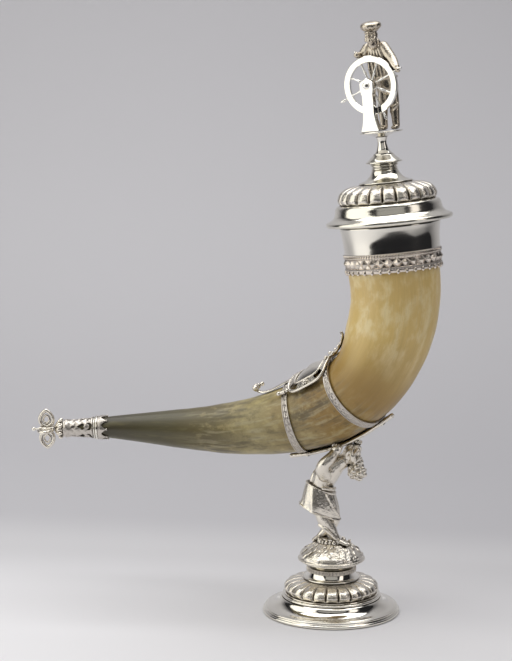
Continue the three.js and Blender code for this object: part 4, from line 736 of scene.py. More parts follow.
# %% Legs and arms
right_leg = [
    bearer_limb([[-8, -4.6, 27, 5.6, 6.4], [-5.5, -6.2, 20, 6.0, 6.0], [-0.5, -6.6, 12, 4.8, 5.2],
        [3.6, -6.4, 5, 3.6, 3.8], [6.0, -6.8, 1.8, 3.1, 3.0]]),
    bearer_limb([[-9.0, -8.6, 15, 1.6, 1.6], [-3.0, -11.4, 12, 1.8, 1.8],
        [4.4, -10.0, 4.5, 1.7, 1.7]], (0, 0, 1)),
    bearer_limb([[5, -6.6, 1.8, 2.6, 2.4], [9, -7.4, 0.8, 2.8, 2.0], [13.5, -8.0, -0.8, 2.2, 1.5]]),
    bearer_ball([-2.6, -8.6, 17.2], [2.6, 2.2, 3.2]),
]
left_leg = [
    bearer_limb([[-4, 4.6, 27, 5.6, 6.4], [0.8, 4.4, 19, 5.8, 5.8], [-1.0, 4.6, 12, 5.0, 5.0],
        [-6.5, 4.6, 6, 3.8, 3.8], [-10.0, 3.8, 2.2, 3.1, 3.1]]),
    bearer_limb([[-9, 4.0, 2.4, 2.6, 2.4], [-12, 2.6, 1.4, 2.8, 2.2], [-15, 1.0, -0.4, 2.2, 1.6]]),
]
cast("bearer_right_leg", right_leg, 0.35)
cast("bearer_left_leg", left_leg, 0.35)


def hand(centre, reach, spread, size):
    reach, spread = unit(reach), unit(spread)
    over = np.cross(reach, spread)
    palm = bearer_ball(centre, np.multiply(size, [3.6, 2.9, 3.4]), [spread, over, reach])
    knuckles = []
    for k in range(4):
        at = np.asarray(centre, float) + size * (spread * (1.7 * k - 2.55) + reach * 1.6 - over * 1.0)
        knuckles.append(bearer_ball(at, np.multiply(size, [1.05, 2.1, 2.0]), [spread, over, reach]))
    return [palm, *knuckles]


right_arm = [
    bearer_limb([[-4.5, -9.6, 57.5, 5.8, 6.0], [-6.2, -13.0, 63.5, 5.6, 5.8], [-4.2, -14.6, 68.5, 4.9, 5.0],
        [0.5, -12.2, 73.0, 4.8, 4.6], [4.0, -9.8, 78.0, 3.6, 3.5]]),
    bearer_ball([-4.6, -12.0, 60.5], [5.4, 4.2, 5.4]),
    *hand([4.8, -9.6, 79.8], [0.35, 0.5, 0.75], [0.85, -0.3, -0.3], 1.3),
]
left_arm = [
    bearer_limb([[0, 10, 60, 5.2, 5.0], [4.5, 13.6, 64, 4.8, 4.6], [9.5, 15, 68.5, 4.2, 4.2],
        [17, 9.6, 75.5, 4.0, 3.6], [19.8, 5.4, 81.4, 3.0, 2.8]]),
    bearer_ball([1.0, 11.6, 61.5], [4.6, 3.6, 4.4]),
    *hand([20.4, 4.4, 83.0], [0.4, -0.5, 0.7], [0.85, 0.3, -0.3], 1.0),
]
cast("bearer_right_arm", right_arm, 0.32)
cast("bearer_left_arm", left_arm, 0.32)

# %% [markdown]
# The head hangs forward. Locks of hair wave back over the skull from a parting; the beard is a ball of
# curls, set out on a spiral so that none line up.

# %% The bearer's head
SKULL = np.array([17.0, -0.6, 73.0])
SKULL_AXES = np.array([unit([0.93, 0, -0.36]), [0, 1, 0], unit([0.36, 0, 0.93])])
SKULL_RADII = np.array([7.0, 6.6, 7.8])


def on_skull(around_head, down, lift):
    out = np.stack([np.cos(around_head) * np.sin(down), np.sin(around_head) * np.sin(down), np.cos(down)], -1)
    return SKULL + (out * (SKULL_RADII + lift)) @ SKULL_AXES


head = [
    bearer_ball(SKULL, SKULL_RADII, SKULL_AXES),
    bearer_ball([20.4, 0, 67.2], [4.2, 4.6, 5.2]),
    bearer_limb([[24.0, 0, 69.8, 1.0, 1.0], [25.0, 0, 67.4, 1.3, 1.3], [24.2, 0, 66.0, 1.2, 1.0]]),
    bearer_limb([[23.0, -3.6, 70.4, 1.0, 1.0], [24.0, 0, 70.7, 1.1, 1.1],
        [23.0, 3.6, 70.4, 1.0, 1.0]], (0, 0, 1)),
    bearer_ball([22.4, -3.2, 67.2], [1.5, 1.5, 1.4]),
    bearer_ball([22.4, 3.2, 67.2], [1.5, 1.5, 1.4]),
]
for side in (-1, 1):
    ear_turn = np.linspace(0, TURN, 20, endpoint=False)
    ear_ring = 1.7 * np.stack([np.cos(ear_turn), 0 * ear_turn, np.sin(ear_turn)], -1)
    ear = on_skull(side * 1.35, 1.65, 0.5) + ear_ring
    head.append(tube(drawn(ear), 0.65, (0, 1, 0), 10, loop=True))
    for k in range(6):
        down = np.linspace(0.15, rng.uniform(1.8, 2.3), 16)
        wave = rng.uniform(0.14, 0.24) * np.sin(3.2 * down + rng.uniform(0, TURN))
        lock = on_skull(side * (0.85 + 0.4 * k + wave), down, 0.4 + 0.6 * np.sin(4 * down + k)[:, None])
        thick = rng.uniform(1.7, 2.1) * np.interp(down, [0.15, 0.6, 1.5, 2.3], [0.6, 1.0, 1.0, 0.5])
        head.append(tube(drawn(lock), thick, (0, side, 0.3), 10))
BEARD, CURLS, GOLDEN_TURN = np.array([20.9, 0, 59.4]), 20, 2.39996
for k in range(CURLS):
    level = 1 - 2 * (k + 0.5) / CURLS
    turn_at = GOLDEN_TURN * k
    out = np.array([*(math.sqrt(1 - level**2) * np.array([math.cos(turn_at), math.sin(turn_at)])), level])
    size = rng.uniform(2.3, 3.3)
    head.append(bearer_ball(BEARD + out * [5.7, 5.7, 6.1], [size, size, 0.85 * size]))
head.append(bearer_ball(BEARD, [6.0, 6.0, 6.4]))
cast("bearer_head", head, 0.3, soften=4)

# %% [markdown]
# ## Bar, straps and saddle furniture
# A slim bar lies under the horn, with a lip at its far side that keeps close to the horn. Two straps go
# round the horn; their outside is chased with rings between bright edges. We raise that pattern in the
# mesh, because the straps are close to the eye.

# %% The bar and the straps
STRAP_WIDTH, STRAP_THICKNESS, STRAP_LIFT = 6.2, 1.2, 0.3
STRAP_LEAN = math.tan(math.radians(-5.7))
OVER_STRAP = STRAP_LIFT + STRAP_THICKNESS + 0.3


def strap_station(station, angle):
    return station - horn_radius(station) * np.cos(angle) * STRAP_LEAN


def strap_skin(station):
    angle = np.linspace(0, TURN, 640, endpoint=False)
    length = angle * horn_radius(station)
    share = np.linspace(-1, 1, 27)
    at = strap_station(station, angle)[:, None] + share[None, :] * STRAP_WIDTH / 2
    border = np.clip((np.abs(share) - 0.72) / 0.12, 0, 1)
    unit_length = 5.2
    along = (np.mod(length / unit_length, 1) - 0.5)[:, None] * unit_length
    away = np.hypot(along, share[None, :] * STRAP_WIDTH / 2)
    ring = np.exp(-(((away - 1.25) / 0.3) ** 2))
    seed = np.exp(-((away / 0.45) ** 2))
    link = np.exp(-((share[None, :] * STRAP_WIDTH / 2 / 0.28) ** 2)) * np.clip((away - 1.5) / 0.3, 0, 1)
    chased = np.maximum(np.maximum(ring, seed), link)
    lift = STRAP_LIFT + STRAP_THICKNESS - 0.5 + 0.5 * np.maximum(border[None, :], chased)
    sunk = 0.6 * crest_flat(at) * np.clip(np.cos(angle), 0, 1)[:, None] ** 2
    top = on_horn(at, angle[:, None], lift - sunk)
    under = on_horn(at, angle[:, None], STRAP_LIFT - sunk)[:, ::-1]
    return skin(np.concatenate([top, under], 1), loop=True)


make_piece("rear_strap", [strap_skin(REAR_STRAP)], FROSTED)
make_piece("front_strap", [strap_skin(FRONT_STRAP)], FROSTED)

rear_foot = strap_station(REAR_STRAP, math.pi)
front_foot = strap_station(FRONT_STRAP, math.pi)
BAR_RINGS = 90
bar_stops = [[rear_foot - 11.6, OVER_STRAP], [rear_foot, OVER_STRAP], [(rear_foot + CARRY) / 2, 1.9],
    [CARRY, 2.1], [(front_foot + CARRY) / 2, 1.8], [front_foot, OVER_STRAP],
    [front_foot + 9.0, OVER_STRAP + 1]]
bar_line = curve(bar_stops, BAR_RINGS)
bar_count = np.arange(BAR_RINGS)
bar_share = np.minimum(bar_count, bar_count[::-1]) / 15
bar_width = 4.6 * (0.45 + 0.55 * np.clip(bar_share, 0, 1) ** 1.4)
bar_angle = np.linspace(0, TURN, 20, endpoint=False)
squared = np.sign(np.cos(bar_angle)) * np.abs(np.cos(bar_angle)) ** 0.6
bar_middle = on_horn(bar_line[:, 0], math.pi, bar_line[:, 1] + 1.2)
bar_across = side_way(bar_line[:, 0])[:, None] * (bar_width[:, None] * squared)[..., None]
bar_down = crest_way(bar_line[:, 0])[:, None] * 1.8 * np.sin(bar_angle)[None, :, None]
bar_rings = bar_middle[:, None] + bar_across + bar_down
knobs = [ball(bar_middle[end], 1.7) for end in (0, -1)]
lip_line = bar_line[16:74]
lip_rings = []
for thick, shares in ((0.0, np.linspace(0, 1, 9)), (0.7, np.linspace(1, 0, 9))):
    lip_turns = math.pi - 0.06 - 0.40 * shares[None, :]
    lip_lifts = (lip_line[:, 1:] + 0.4) * (1 - shares[None, :]) + 0.3 * shares[None, :] + thick
    lip_rings.append(on_horn(lip_line[:, :1], lip_turns, lip_lifts))
make_piece("saddle_bar", [skin(bar_rings), skin(np.concatenate(lip_rings, 1)), *knobs], CAST)

# %% [markdown]
# On the crest between the straps lies a saddle: a bare plate inside a pierced frame of two rails, with
# a rosette at each side. Towards the tip a scroll curls up to a rolled end with ball tips; towards the
# mouth a leaf scroll climbs the crest.

# %% Saddle plate and frame
SADDLE_STATION, SADDLE_HALF, SADDLE_ANGLE = 204.5, 26.0, math.radians(41)


SADDLE_STOPS = SADDLE_STATION + SADDLE_HALF * np.array([-1.0, 1.0])
SADDLE_ENDS = on_horn(SADDLE_STOPS, 0.0, -crest_flat(SADDLE_STOPS))
SADDLE_REACH = np.linalg.norm(SADDLE_ENDS[1] - SADDLE_ENDS[0]) / 2
SADDLE_WAY = unit(SADDLE_ENDS[1] - SADDLE_ENDS[0])
SADDLE_UP = unit(np.cross(SADDLE_WAY, side_way(SADDLE_STATION)))
SADDLE_SIDE = np.cross(SADDLE_UP, SADDLE_WAY)
SADDLE_RADIUS = horn_radius(SADDLE_STATION)
SADDLE_AXIS = SADDLE_ENDS.mean(0) - SADDLE_RADIUS * SADDLE_UP


def saddle_point(size, turn_at, lift):
    size, turn_at, lift = np.broadcast_arrays(*(np.asarray(v, float) for v in (size, turn_at, lift)))
    c, s = np.cos(turn_at), np.sin(turn_at)
    along = SADDLE_REACH * size * np.sign(c) * np.abs(c) ** 0.45
    angle = SADDLE_ANGLE * size * np.sign(s) * np.abs(s) ** 0.45
    out = SADDLE_UP * np.cos(angle)[..., None] + SADDLE_SIDE * np.sin(angle)[..., None]
    return SADDLE_AXIS + SADDLE_WAY * along[..., None] + out * (SADDLE_RADIUS + lift)[..., None]


saddle_turns = np.linspace(0, TURN, 160, endpoint=False)[None, :]
plate_sizes = np.linspace(0.02, 0.64, 14)[:, None]
plate_top = saddle_point(plate_sizes[::-1], saddle_turns, OVER_STRAP + 1.6 + 4.0 * (0.64 - plate_sizes[::-1]))
plate_under = saddle_point(plate_sizes, saddle_turns, OVER_STRAP)
make_piece("cartouche_plate", [skin(np.concatenate([plate_under, plate_top]))])

rail_lift = OVER_STRAP + 2.0
rail_up = saddle_point(1.0, saddle_turns[0], rail_lift + 1) - saddle_point(1.0, saddle_turns[0], rail_lift)
rails = [tube(saddle_point(size, saddle_turns[0], rail_lift), thick, rail_up, loop=True)
    for size, thick in ((1.0, 1.1), (0.7, 1.0))]


def slotted_web():
    turns = np.linspace(0, TURN, 240, endpoint=False)
    sizes = np.linspace(0.72, 0.98, 7)
    rows = [saddle_point(size, turns, rail_lift - 0.5) for size in sizes]
    rows += [saddle_point(size, turns, rail_lift + 0.3) for size in sizes[::-1]]
    points, faces = skin(np.array(rows), loop=True)
    from_side = np.abs(np.mod(turns, math.pi) - math.pi / 2)
    open_turn = (from_side > 0.24) & (from_side < 0.95)
    kept = []
    for face in faces:
        row, column = divmod(face[0], 240)
        band = row if row < 7 else 12 - row
        if not (open_turn[column] and 1 <= band <= 4 and row != 13):
            kept.append(face)
    return points, kept


rosettes = []
for side in (-1, 1):
    middle = saddle_point(0.85, side * math.pi / 2, rail_lift + 0.5)
    out = unit(saddle_point(0.85, side * math.pi / 2, rail_lift + 1.5) - middle)
    along = SADDLE_WAY
    across = np.cross(out, along)
    rosettes.append(ball(middle + 0.6 * out, 1.25))
    for k in range(6):
        petal = math.cos(TURN * k / 6) * along + math.sin(TURN * k / 6) * across
        rosettes.append(ball(middle + 1.9 * petal, 1.0))
make_piece("cartouche_frame", [*rails, slotted_web(), *rosettes], CAST)


# %% Scrolls along the crest
def crest_ribbon(stations, lifts, widths, thick, dish=0.28):
    angle = np.linspace(0, TURN, 24, endpoint=False)
    middle = on_horn(stations, 0.0, lifts)
    along = unit(np.gradient(middle, axis=0))
    side = side_way(stations)
    over = np.cross(along, side)
    u = side[:, None] * (widths[:, None] * np.cos(angle))[..., None]
    v = over[:, None] * (thick * np.sin(angle))[None, :, None]
    dip = -over[:, None] * (dish * widths[:, None] * np.cos(angle) ** 2)[..., None]
    return skin(middle[:, None] + u + v - dip)


ROLL_STATION, ROLL_LIFT = 136.6, 7.4
flat_stops = [[172.0, OVER_STRAP + 0.9], [163.0, OVER_STRAP + 0.6], [150.0, 1.3], [142.0, 1.9], [137.0, 4.0]]
flat = curve(flat_stops, 40)
roll_turn = np.linspace(-0.4, 1.5 * math.pi, 40)
roll_size = np.linspace(3.0, 1.5, 40)
roll_stations = ROLL_STATION - roll_size * np.sin(roll_turn) * 0.9
roll_line = np.stack([roll_stations, ROLL_LIFT - roll_size * np.cos(roll_turn)], -1)
scroll_line = np.concatenate([flat, roll_line])
scroll_widths = np.interp(np.arange(80), [0, 14, 40, 79], [4.6, 3.2, 2.4, 2.2])
tip_scroll = [crest_ribbon(scroll_line[:, 0], scroll_line[:, 1], scroll_widths, 0.9, 0.1)]
roll_middle, roll_side, roll_half = on_horn(ROLL_STATION, 0.0, ROLL_LIFT), side_way(ROLL_STATION), 4.2
for side in (-1, 1):
    end = roll_middle + side * roll_side * roll_half
    tip_scroll.append(ball(end, 2.5))
    tip_scroll.append(ball(end + side * roll_side * 2.2, 1.2))
tip_scroll.append(tube(roll_middle + np.outer([-roll_half, 0, roll_half], roll_side), 1.5, (0, 0, 1)))
tip_scroll.append(ball(on_horn(142.2, 0.05, 8.4), 1.9))
make_piece("tip_side_scroll", tip_scroll, CAST)

climb_stations = np.linspace(229.0, 264.4, 60)
climb_lifts = np.interp(climb_stations, [229, 234, 240, 248, 258, 264.4], [4.6, 4.2, 3.0, 1.8, 1.2, 2.0])
climb_lifts = climb_lifts - crest_flat(climb_stations)
climb_widths = np.interp(np.arange(60), [0, 12, 24, 34, 46, 59], [5.0, 3.4, 4.4, 2.6, 3.2, 1.2])
leaf_scroll = [crest_ribbon(climb_stations, climb_lifts, climb_widths, 1.3, 0.1)]
for at, reach, size in ((1, 4.4, 1.8), (17, 3.8, 1.6), (35, 3.0, 1.4), (59, 0, 1.3)):
    station, lift = climb_stations[at], climb_lifts[at] + 0.9
    for side in (-1, 1):
        leaf_scroll.append(ball(on_horn(station, 0.0, lift) + side * reach * side_way(station), size))
make_piece("mouth_side_scroll", leaf_scroll, CAST)

for side, name in ((-1, "rear_strap_pin_near"), (1, "rear_strap_pin_far")):
    pin_angle = side * math.radians(35)
    pin_station = strap_station(REAR_STRAP, pin_angle) + np.linspace(-5.2, 5.2, 21)
    pin_line = on_horn(pin_station, pin_angle, OVER_STRAP + 1.6)
    pin = [tube(pin_line, 1.1, (0, 0, 1)), ball(pin_line[0], 1.9), ball(pin_line[-1], 1.7)]
    pin.append(tube(pin_line[5:16], 1.75, (0, 0, 1)))
    make_piece(name, pin, CAST)

# %% [markdown]
# ## The tip mount
# Outwards from the horn: a crown of pointed leaves with a bead on each tip, a moulded collar, a pierced
# sleeve, a leafy knot, a cross of four pierced lobes and an end ball on a beaded stem.


# %% Crown and collar
def crown_leaves(radius, height, angle):
    wave = np.abs(np.mod(angle / TURN * 8 + 0.5, 1) - 0.5) * 2
    point = np.clip(1 - wave, 0, 1) ** 1.5
    vein = 0.3 * np.exp(-((wave / 0.12) ** 2))
    low = np.clip((0.6 - height) / 0.6, 0, 1)
    return radius + low * vein, np.where(height < 0.5, -4.4 * point, height)


crown = [[8.9, 0], [9.8, 0], [10.1, 0.8], [9.8, 1.6], [9.7, 3.1], [8.0, 3.1], [8.0, 1.5]]
crown_beads = []
for k in range(8):
    at = TURN * k / 8
    crown_beads.append(ball(TIP_SEAT.place([9.6 * math.cos(at), 9.6 * math.sin(at), -4.4]), 0.95))
make_piece("tip_crown", [turned(crown, TIP_SEAT, 8 * 24, crown_leaves), *crown_beads], FROSTED)
collar = [[7.9, 3.2], [9.2, 3.2]] + torus_edge(9.2, 4.2, 0.95) + [[9.0, 5.3]]
collar += torus_edge(8.7, 6.1, 0.65) + [[7.9, 6.9]]
make_piece("tip_collar", [turned(collar, TIP_SEAT, 96)])


# %% Pierced sleeve
def pierced(across, level):
    heart = np.hypot(np.abs(across) - 1.3, level - 15.6) < 1.6
    heart |= (np.abs(across) < (20.6 - level) * 0.56) & (level > 15.6) & (level < 20.6)
    crescent = (np.hypot(across, level - 10.8) < 3.4) & (np.hypot(across, level - 12.6) > 2.7)
    slot = (np.abs(across) < 0.8) & (np.abs(level - 23.4) < 1.5)
    return heart | crescent | slot


def sleeve_skin():
    levels = np.linspace(7.3, 32.2, 84)
    sides = 216
    angle = np.linspace(0, TURN, sides, endpoint=False)
    outer = np.interp(levels, [7.3, 8.4, 9.2, 26, 28, 30, 32.2], [8.9, 8.9, 8.3, 7.0, 7.4, 7.6, 6.9])
    bulge = 0.25 * np.sin(levels[:, None] * 1.1) * np.cos(6 * angle)[None, :]
    radius = outer[:, None] + bulge
    height = levels[:, None] + 0 * angle
    rings = np.stack([radius * np.cos(angle), radius * np.sin(angle), height], -1)
    points, faces = skin(TIP_SEAT.place(rings))
    kept = []
    for face in faces[:-2]:
        row, column = divmod(face[0], sides)
        share = np.mod(angle[column] / TURN * 5 + 0.5, 1) - 0.5
        if not pierced(share * TURN / 5 * outer[row], levels[row]):
            kept.append(face)
    return points, kept


sleeve = new_mesh_object("fine_tip_sleeve", [sleeve_skin()], FROSTED, 40)
wall = sleeve.modifiers.new("wall", "SOLIDIFY")
wall.thickness = 1.0 * MM
wall.offset = -1.0
settle(sleeve, ["tip_sleeve"], "stand")


# %% Knot, cross and ball
def leafy(radius, height, angle):
    wave = np.abs(np.cos(4 * angle))
    cup = np.clip((height - 32.4) / 2.5, 0, 1)
    return radius * (1 - 0.22 * cup * (1 - wave**0.6)), height - 0.8 * cup * (1 - wave)


knot = [[0.5, 32.3], [5.0, 32.3], [5.9, 32.9]]
knot += bend([[6.0, 33.4], [7.0, 35.4], [6.2, 37.4], [4.2, 38.6], [2.8, 39.6]], 22)
knot_leaves = []
for k in range(8):
    at = TURN * (k + 0.5) / 8
    tip_at = TIP_SEAT.place([7.4 * math.cos(at), 7.4 * math.sin(at), 34.6])
    knot_leaves.append(ball(tip_at, [1.5, 1.5, 1.9], TIP_SEAT.axes))
make_piece("tip_knot", [turned(knot + [[0.5, 39.8]], TIP_SEAT, 128, leafy, False), *knot_leaves], CAST)

CROSS_START, CROSS_LENGTH = 40.4, 12.0
lobe_outline = curve([[1.6, 0.5], [4.5, 0.12], [8.6, 0.05], [12.6, 0.2], [15.2, 0.44], [15.4, 0.5],
    [15.2, 0.56], [12.6, 0.8], [8.6, 0.95], [4.5, 0.88], [1.6, 0.5]], 80)[:-1]
inner_curl = curve([[4.2, 0.5], [7.0, 0.28], [10.0, 0.34], [11.4, 0.5], [10.0, 0.66], [7.0, 0.72],
    [4.2, 0.5]], 50)[:-1]
core_line = TIP_SEAT.place([[0, 0, CROSS_START + CROSS_LENGTH * t] for t in np.linspace(0, 1, 12)])
cross = [tube(core_line, 2.1, (0, 1, 0.2))]
for k in range(4):
    c, s = math.cos(TURN * k / 4), math.sin(TURN * k / 4)
    flat_axis = TIP_SEAT.axes.T @ np.array([-s, c, 0])
    for outline, thick in ((lobe_outline, 1.5), (inner_curl, 0.95)):
        far, up = outline[:, 0], CROSS_START + CROSS_LENGTH * outline[:, 1]
        wire_line = TIP_SEAT.place(np.stack([far * c, far * s, up], -1))
        cross.append(tube(wire_line, thick, flat_axis, loop=True))
    cross.append(ball(TIP_SEAT.place([15.6 * c, 15.6 * s, CROSS_START + CROSS_LENGTH / 2]), 1.3))
    for far in (3.6, 5.6):
        for up in (0.14, 0.86):
            bead_at = [far * c, far * s, CROSS_START + CROSS_LENGTH * up]
            cross.append(ball(TIP_SEAT.place(bead_at), 0.95))
make_piece("tip_cross", cross, CAST)
end_beads = [(52.9, 1.3), (54.3, 0.95), (55.5, 0.8), (57.4, 1.75)]
make_piece("tip_ball", [ball(TIP_SEAT.place([0, 0, level]), size) for level, size in end_beads])

# %% [markdown]
# ## The mouth mount
# Four rings stack up from the horn to the lid: drops like little buds, a frieze of pyramids between
# crossed lines, a fine dentil line, and a plain flared collar polished like a mirror.

# %% Bead ring, frieze and dentils
BUDS = 34
mount_inner = 36.4
bud_ring = [[mount_inner, 1.2], [37.2, 0.9], [37.7, 1.6], [37.7, 3.3], [38.4, 3.5], [38.5, 4.2],
    [mount_inner, 4.5]]
buds = [turned(bud_ring, MOUTH_SEAT, BUDS * 12, teeth(BUDS * 3, 0.4, 38.0))]
for k in range(BUDS):
    at = TURN * (k + 0.5) / BUDS
    place = MOUTH_SEAT.place([37.5 * math.cos(at), 37.5 * math.sin(at), 1.7])
    buds.append(ball(place, [1.45, 1.45, 2.15], MOUTH_SEAT.axes, 12))
make_piece("mouth_bead_ring", buds, CHASED)


def pyramids(radius, height, angle):
    across = np.mod(BUDS * angle / TURN, 1) * 2 - 1
    upright = (height - 8.5) / 3.4
    point = np.clip(1 - np.abs(across) * 1.05 - np.abs(upright), 0, 1)
    distance = np.abs(np.abs(across) + np.abs(upright) - 1.06)
    line = np.clip(1 - distance / 0.13, 0, 1)
    inset = (np.abs(upright) < 0.98) & (radius > mount_inner + 0.2)
    return radius + np.where(inset, 1.9 * point + 0.55 * line - 0.45, 0), height


frieze = [[mount_inner, 4.6], [38.3, 4.6], [38.5, 4.9]] + [[37.9, z] for z in np.linspace(5.1, 11.9, 26)]
frieze += [[38.5, 12.1], [38.3, 12.4], [mount_inner, 12.4]]
make_piece("mouth_frieze", [turned(frieze, MOUTH_SEAT, BUDS * 24, pyramids)], CHASED)
dentils = [[mount_inner, 12.5], [38.2, 12.5], [38.9, 12.9], [39.0, 13.3], [38.4, 13.6], [38.2, 14.0],
    [38.9, 14.3], [38.9, 15.0], [38.4, 15.5], [38.0, 15.9], [mount_inner, 15.9]]
make_piece("mouth_dentil_ring", [turned(dentils, MOUTH_SEAT, 102 * 8, teeth(102, 0.6, 38.7))], CHASED)

# %% Collar
collar_wall = bend([[37.9, 16.0], [38.1, 20.0], [38.5, 26.4], [39.3, 32.4], [40.0, 36.0]], 40)
collar_lip = [[39.9, 36.4], [33.0, 36.4], [33.0, 35.2], [38.3, 35.2], [37.0, 26.4], [36.5, 16.0]]
make_piece("mouth_collar", [turned(collar_wall + collar_lip, MOUTH_SEAT, 180)])

# %% [markdown]
# ## The lid
# A flanged shell, a gadroon ring, a trumpet neck, a disc knop, a stem and a platform, all on the
# mouth's axis. These ride on the lid's body, so they lift off together.

# %% Shell, gadroons, neck, knop, stem and platform
shell_profile = [[30.6, 36.9], [39.2, 36.9], [46.4, 37.6]] + torus_edge(48.0, 39.8, 2.1)[1:]
shell_profile += [[47.4, 42.2]] + bend([[47.0, 42.5], [44.9, 43.6], [43.0, 45.7], [42.3, 48.4]], 16)
shell_profile += bend([[42.2, 48.8], [41.8, 51.0], [40.8, 53.0], [39.6, 53.8]], 12)
shell_profile += [[38.9, 54.2], [33.5, 54.4], [33.5, 53.0], [38.4, 52.6], [40.8, 47], [41.5, 44]]
shell_profile += [[38, 38.3], [30.6, 38.3]]
make_piece("lid_shell", [turned(shell_profile, MOUTH_SEAT, 180)], WORN, "lid")

lid_lobes = bend([[37.6, 54.7], [39.2, 56.6], [39.3, 59.6], [36.4, 64.6], [30.0, 67.6], [24.2, 68.6],
    [21.8, 68.8]], 44)
lid_lobes += [[20.8, 68.9], [2.4, 68.9], [2.4, 67.5], [24, 67.2], [34, 64], [36.8, 59], [36.2, 54.7]]
lid_gadroons = turned(lid_lobes, MOUTH_SEAT, GADROON_SIDES, gadroons(GADROONS, 2.4, 22.5, 34, 54.9))
make_piece("lid_gadroon_ring", [lid_gadroons], CAST, "lid")

neck = [[2.4, 69.1], [20.9, 69.1]] + torus_edge(20.7, 69.7, 0.5, 7)
neck += bend([[19.6, 70.3], [15.6, 72.0], [12.0, 75.6], [10.4, 79.0]], 18)
neck += [[10.0, 79.4]] + torus_edge(9.6, 80.3, 0.75, 7) + [[9.5, 81.2], [9.6, 81.9]]
neck += torus_edge(10.0, 82.8, 0.75, 7) + [[10.6, 83.7], [11.0, 84.3], [2.4, 84.3]]
make_piece("lid_neck", [turned(neck, MOUTH_SEAT, 128)], WORN, "lid")

knop = [[2.4, 84.6], [12.8, 84.6]] + torus_edge(13.8, 85.4, 0.6) + [[13.0, 86.2]]
knop += bend([[12.4, 87.0], [9.8, 89.4], [8.2, 91.0], [7.7, 92.0]], 12) + [[2.4, 92.0]]
make_piece("lid_knop", [turned(knop, MOUTH_SEAT, 128)], WORN, "lid")
stem = [[2.4, 92.3]] + bend([[6.8, 92.4], [5.0, 95.0], [3.8, 99.0], [3.6, 101.6], [4.6, 104.8]], 24)
stem.append([2.4, 104.8])
make_piece("lid_stem", [turned(stem, MOUTH_SEAT, 96)], body="lid")
platform = [[0.5, 105.0], [4.6, 105.0]] + bend([[6.0, 105.8], [11.0, 107.2], [15.6, 108.2]], 14)
platform += torus_edge(16.4, 108.9, 0.6, 7) + [[0.5, 109.5]]
make_piece("lid_platform", [turned(platform, MOUTH_SEAT, 128, None, False)], body="lid")

# %% [markdown]
# ## The wheel
# A flat rim with a turned edge, eight thin spokes, handles on every second spoke and a boss, on an axle
# through a post. Wheel, post and axle are in a lighter silver that paints their white highlight. The whole
# crew is turned a little on its platform.

# %% Wheel, post and axle
CREW = MOUTH_SEAT.raised(109.8, -21.0)
WHEEL_MIDDLE = np.array([-3.9, -2.6, 36.0])


def wheel_point(angle, radius, depth=0.0):
    angle, radius, depth = np.broadcast_arrays(*(np.asarray(v, float) for v in (angle, radius, depth)))
    spread = np.stack([radius * np.cos(angle), depth, radius * np.sin(angle)], -1)
    return CREW.place(WHEEL_MIDDLE + spread)


def wheel_band(profile, sides=120):
    profile = np.asarray(profile, float)
    angle = np.linspace(0, TURN, sides, endpoint=False)[None, :]
    return skin(wheel_point(-angle, profile[:, :1], profile[:, 1:]), loop=True)


def spindle(angle, stops):
    stops = np.asarray(stops, float)
    return tube(wheel_point(angle, stops[:, 0]), stops[:, 1], CREW.axes[1])


rim = [[18.0, -1.2], [18.3, -1.5], [22.6, -1.5], [23.0, -1.1], [23.0, 1.1], [22.6, 1.5], [18.3, 1.5],
    [18.0, 1.2]]
boss = [[1.8, -2.0], [3.6, -2.0], [4.1, -1.4], [4.1, 1.4], [3.6, 2.0], [1.8, 2.0]]
spoke = [[3.5, 0.95], [5, 0.7], [8, 0.75], [10, 1.1], [11, 1.1], [13, 0.75], [16, 0.7], [19, 1.0]]
handle = [[22.5, 1.0], [23.6, 1.2], [24.4, 0.7], [26, 1.15], [28.4, 1.25], [29.6, 0.9], [30, 0.3]]
wheel = [wheel_band(rim), wheel_band(boss, 48)]
for k in range(8):
    at = math.radians(22) + TURN * k / 8
    wheel.append(spindle(at, spoke))
    if k % 2 == 0:
        wheel.append(spindle(at, handle))
make_piece("ship_wheel", wheel, HIGHLIGHT_SILVER, "lid")

half_side = [[7.6, 0.0], [7.6, 1.0], [7.2, 1.6], [6.2, 5.0], [5.4, 9.0], [4.9, 14.0], [4.6, 26.0],
    [4.5, 28.9], [5.0, 30.0], [5.7, 33.6], [5.7, 38.2], [3.0, 40.2], [1.2, 41.3], [0.0, 41.6]]
right_side = np.array(half_side)
left_side = right_side[-2::-1] * [-1, 1]
post_outline = np.concatenate([right_side, left_side])


def post_ring(depth, inset):
    middle = np.array([0.0, 20.0])
    pulled = post_outline + inset * unit(middle - post_outline)
    return np.stack([pulled[:, 0] - 3.9, np.full(len(pulled), depth), pulled[:, 1]], -1)


post_depths = [(-11.0, 0.5), (-10.5, 0.0), (-5.5, 0.0), (-5.0, 0.5)]
post_rings = np.array([post_ring(depth, inset) for depth, inset in post_depths])
make_piece("wheel_pedestal", [skin(CREW.place(post_rings))], HIGHLIGHT_SILVER, "lid", 25)
axle_profile = [[0.4, -10.2], [1.6, -10.1], [2.6, -9.4], [2.9, -8.7], [1.4, -8.7], [1.4, 2.0], [0.4, 2.0]]
make_piece("wheel_axle", [wheel_band(axle_profile, 32)], HIGHLIGHT_SILVER, "lid")

# %% [markdown]
# ## The helmsman
# A sailor in a full soft cap, smock and trousers, with both hands on the wheel. As with the bearer, the
# face is a plain calm one of general proportions, small and shaded by the cap.

# %% Smock, legs and arms
SAILOR_SCALE = 86 / 87


def sailor_limb(stops, across=(1, 0, 0), **options):
    points, faces = limb(np.array(stops, float) * SAILOR_SCALE, across, **options)
    return CREW.place(points), faces


def sailor_ball(centre, radii):
    points, faces = ball(np.multiply(centre, SAILOR_SCALE), np.multiply(radii, SAILOR_SCALE))
    return CREW.place(points), faces
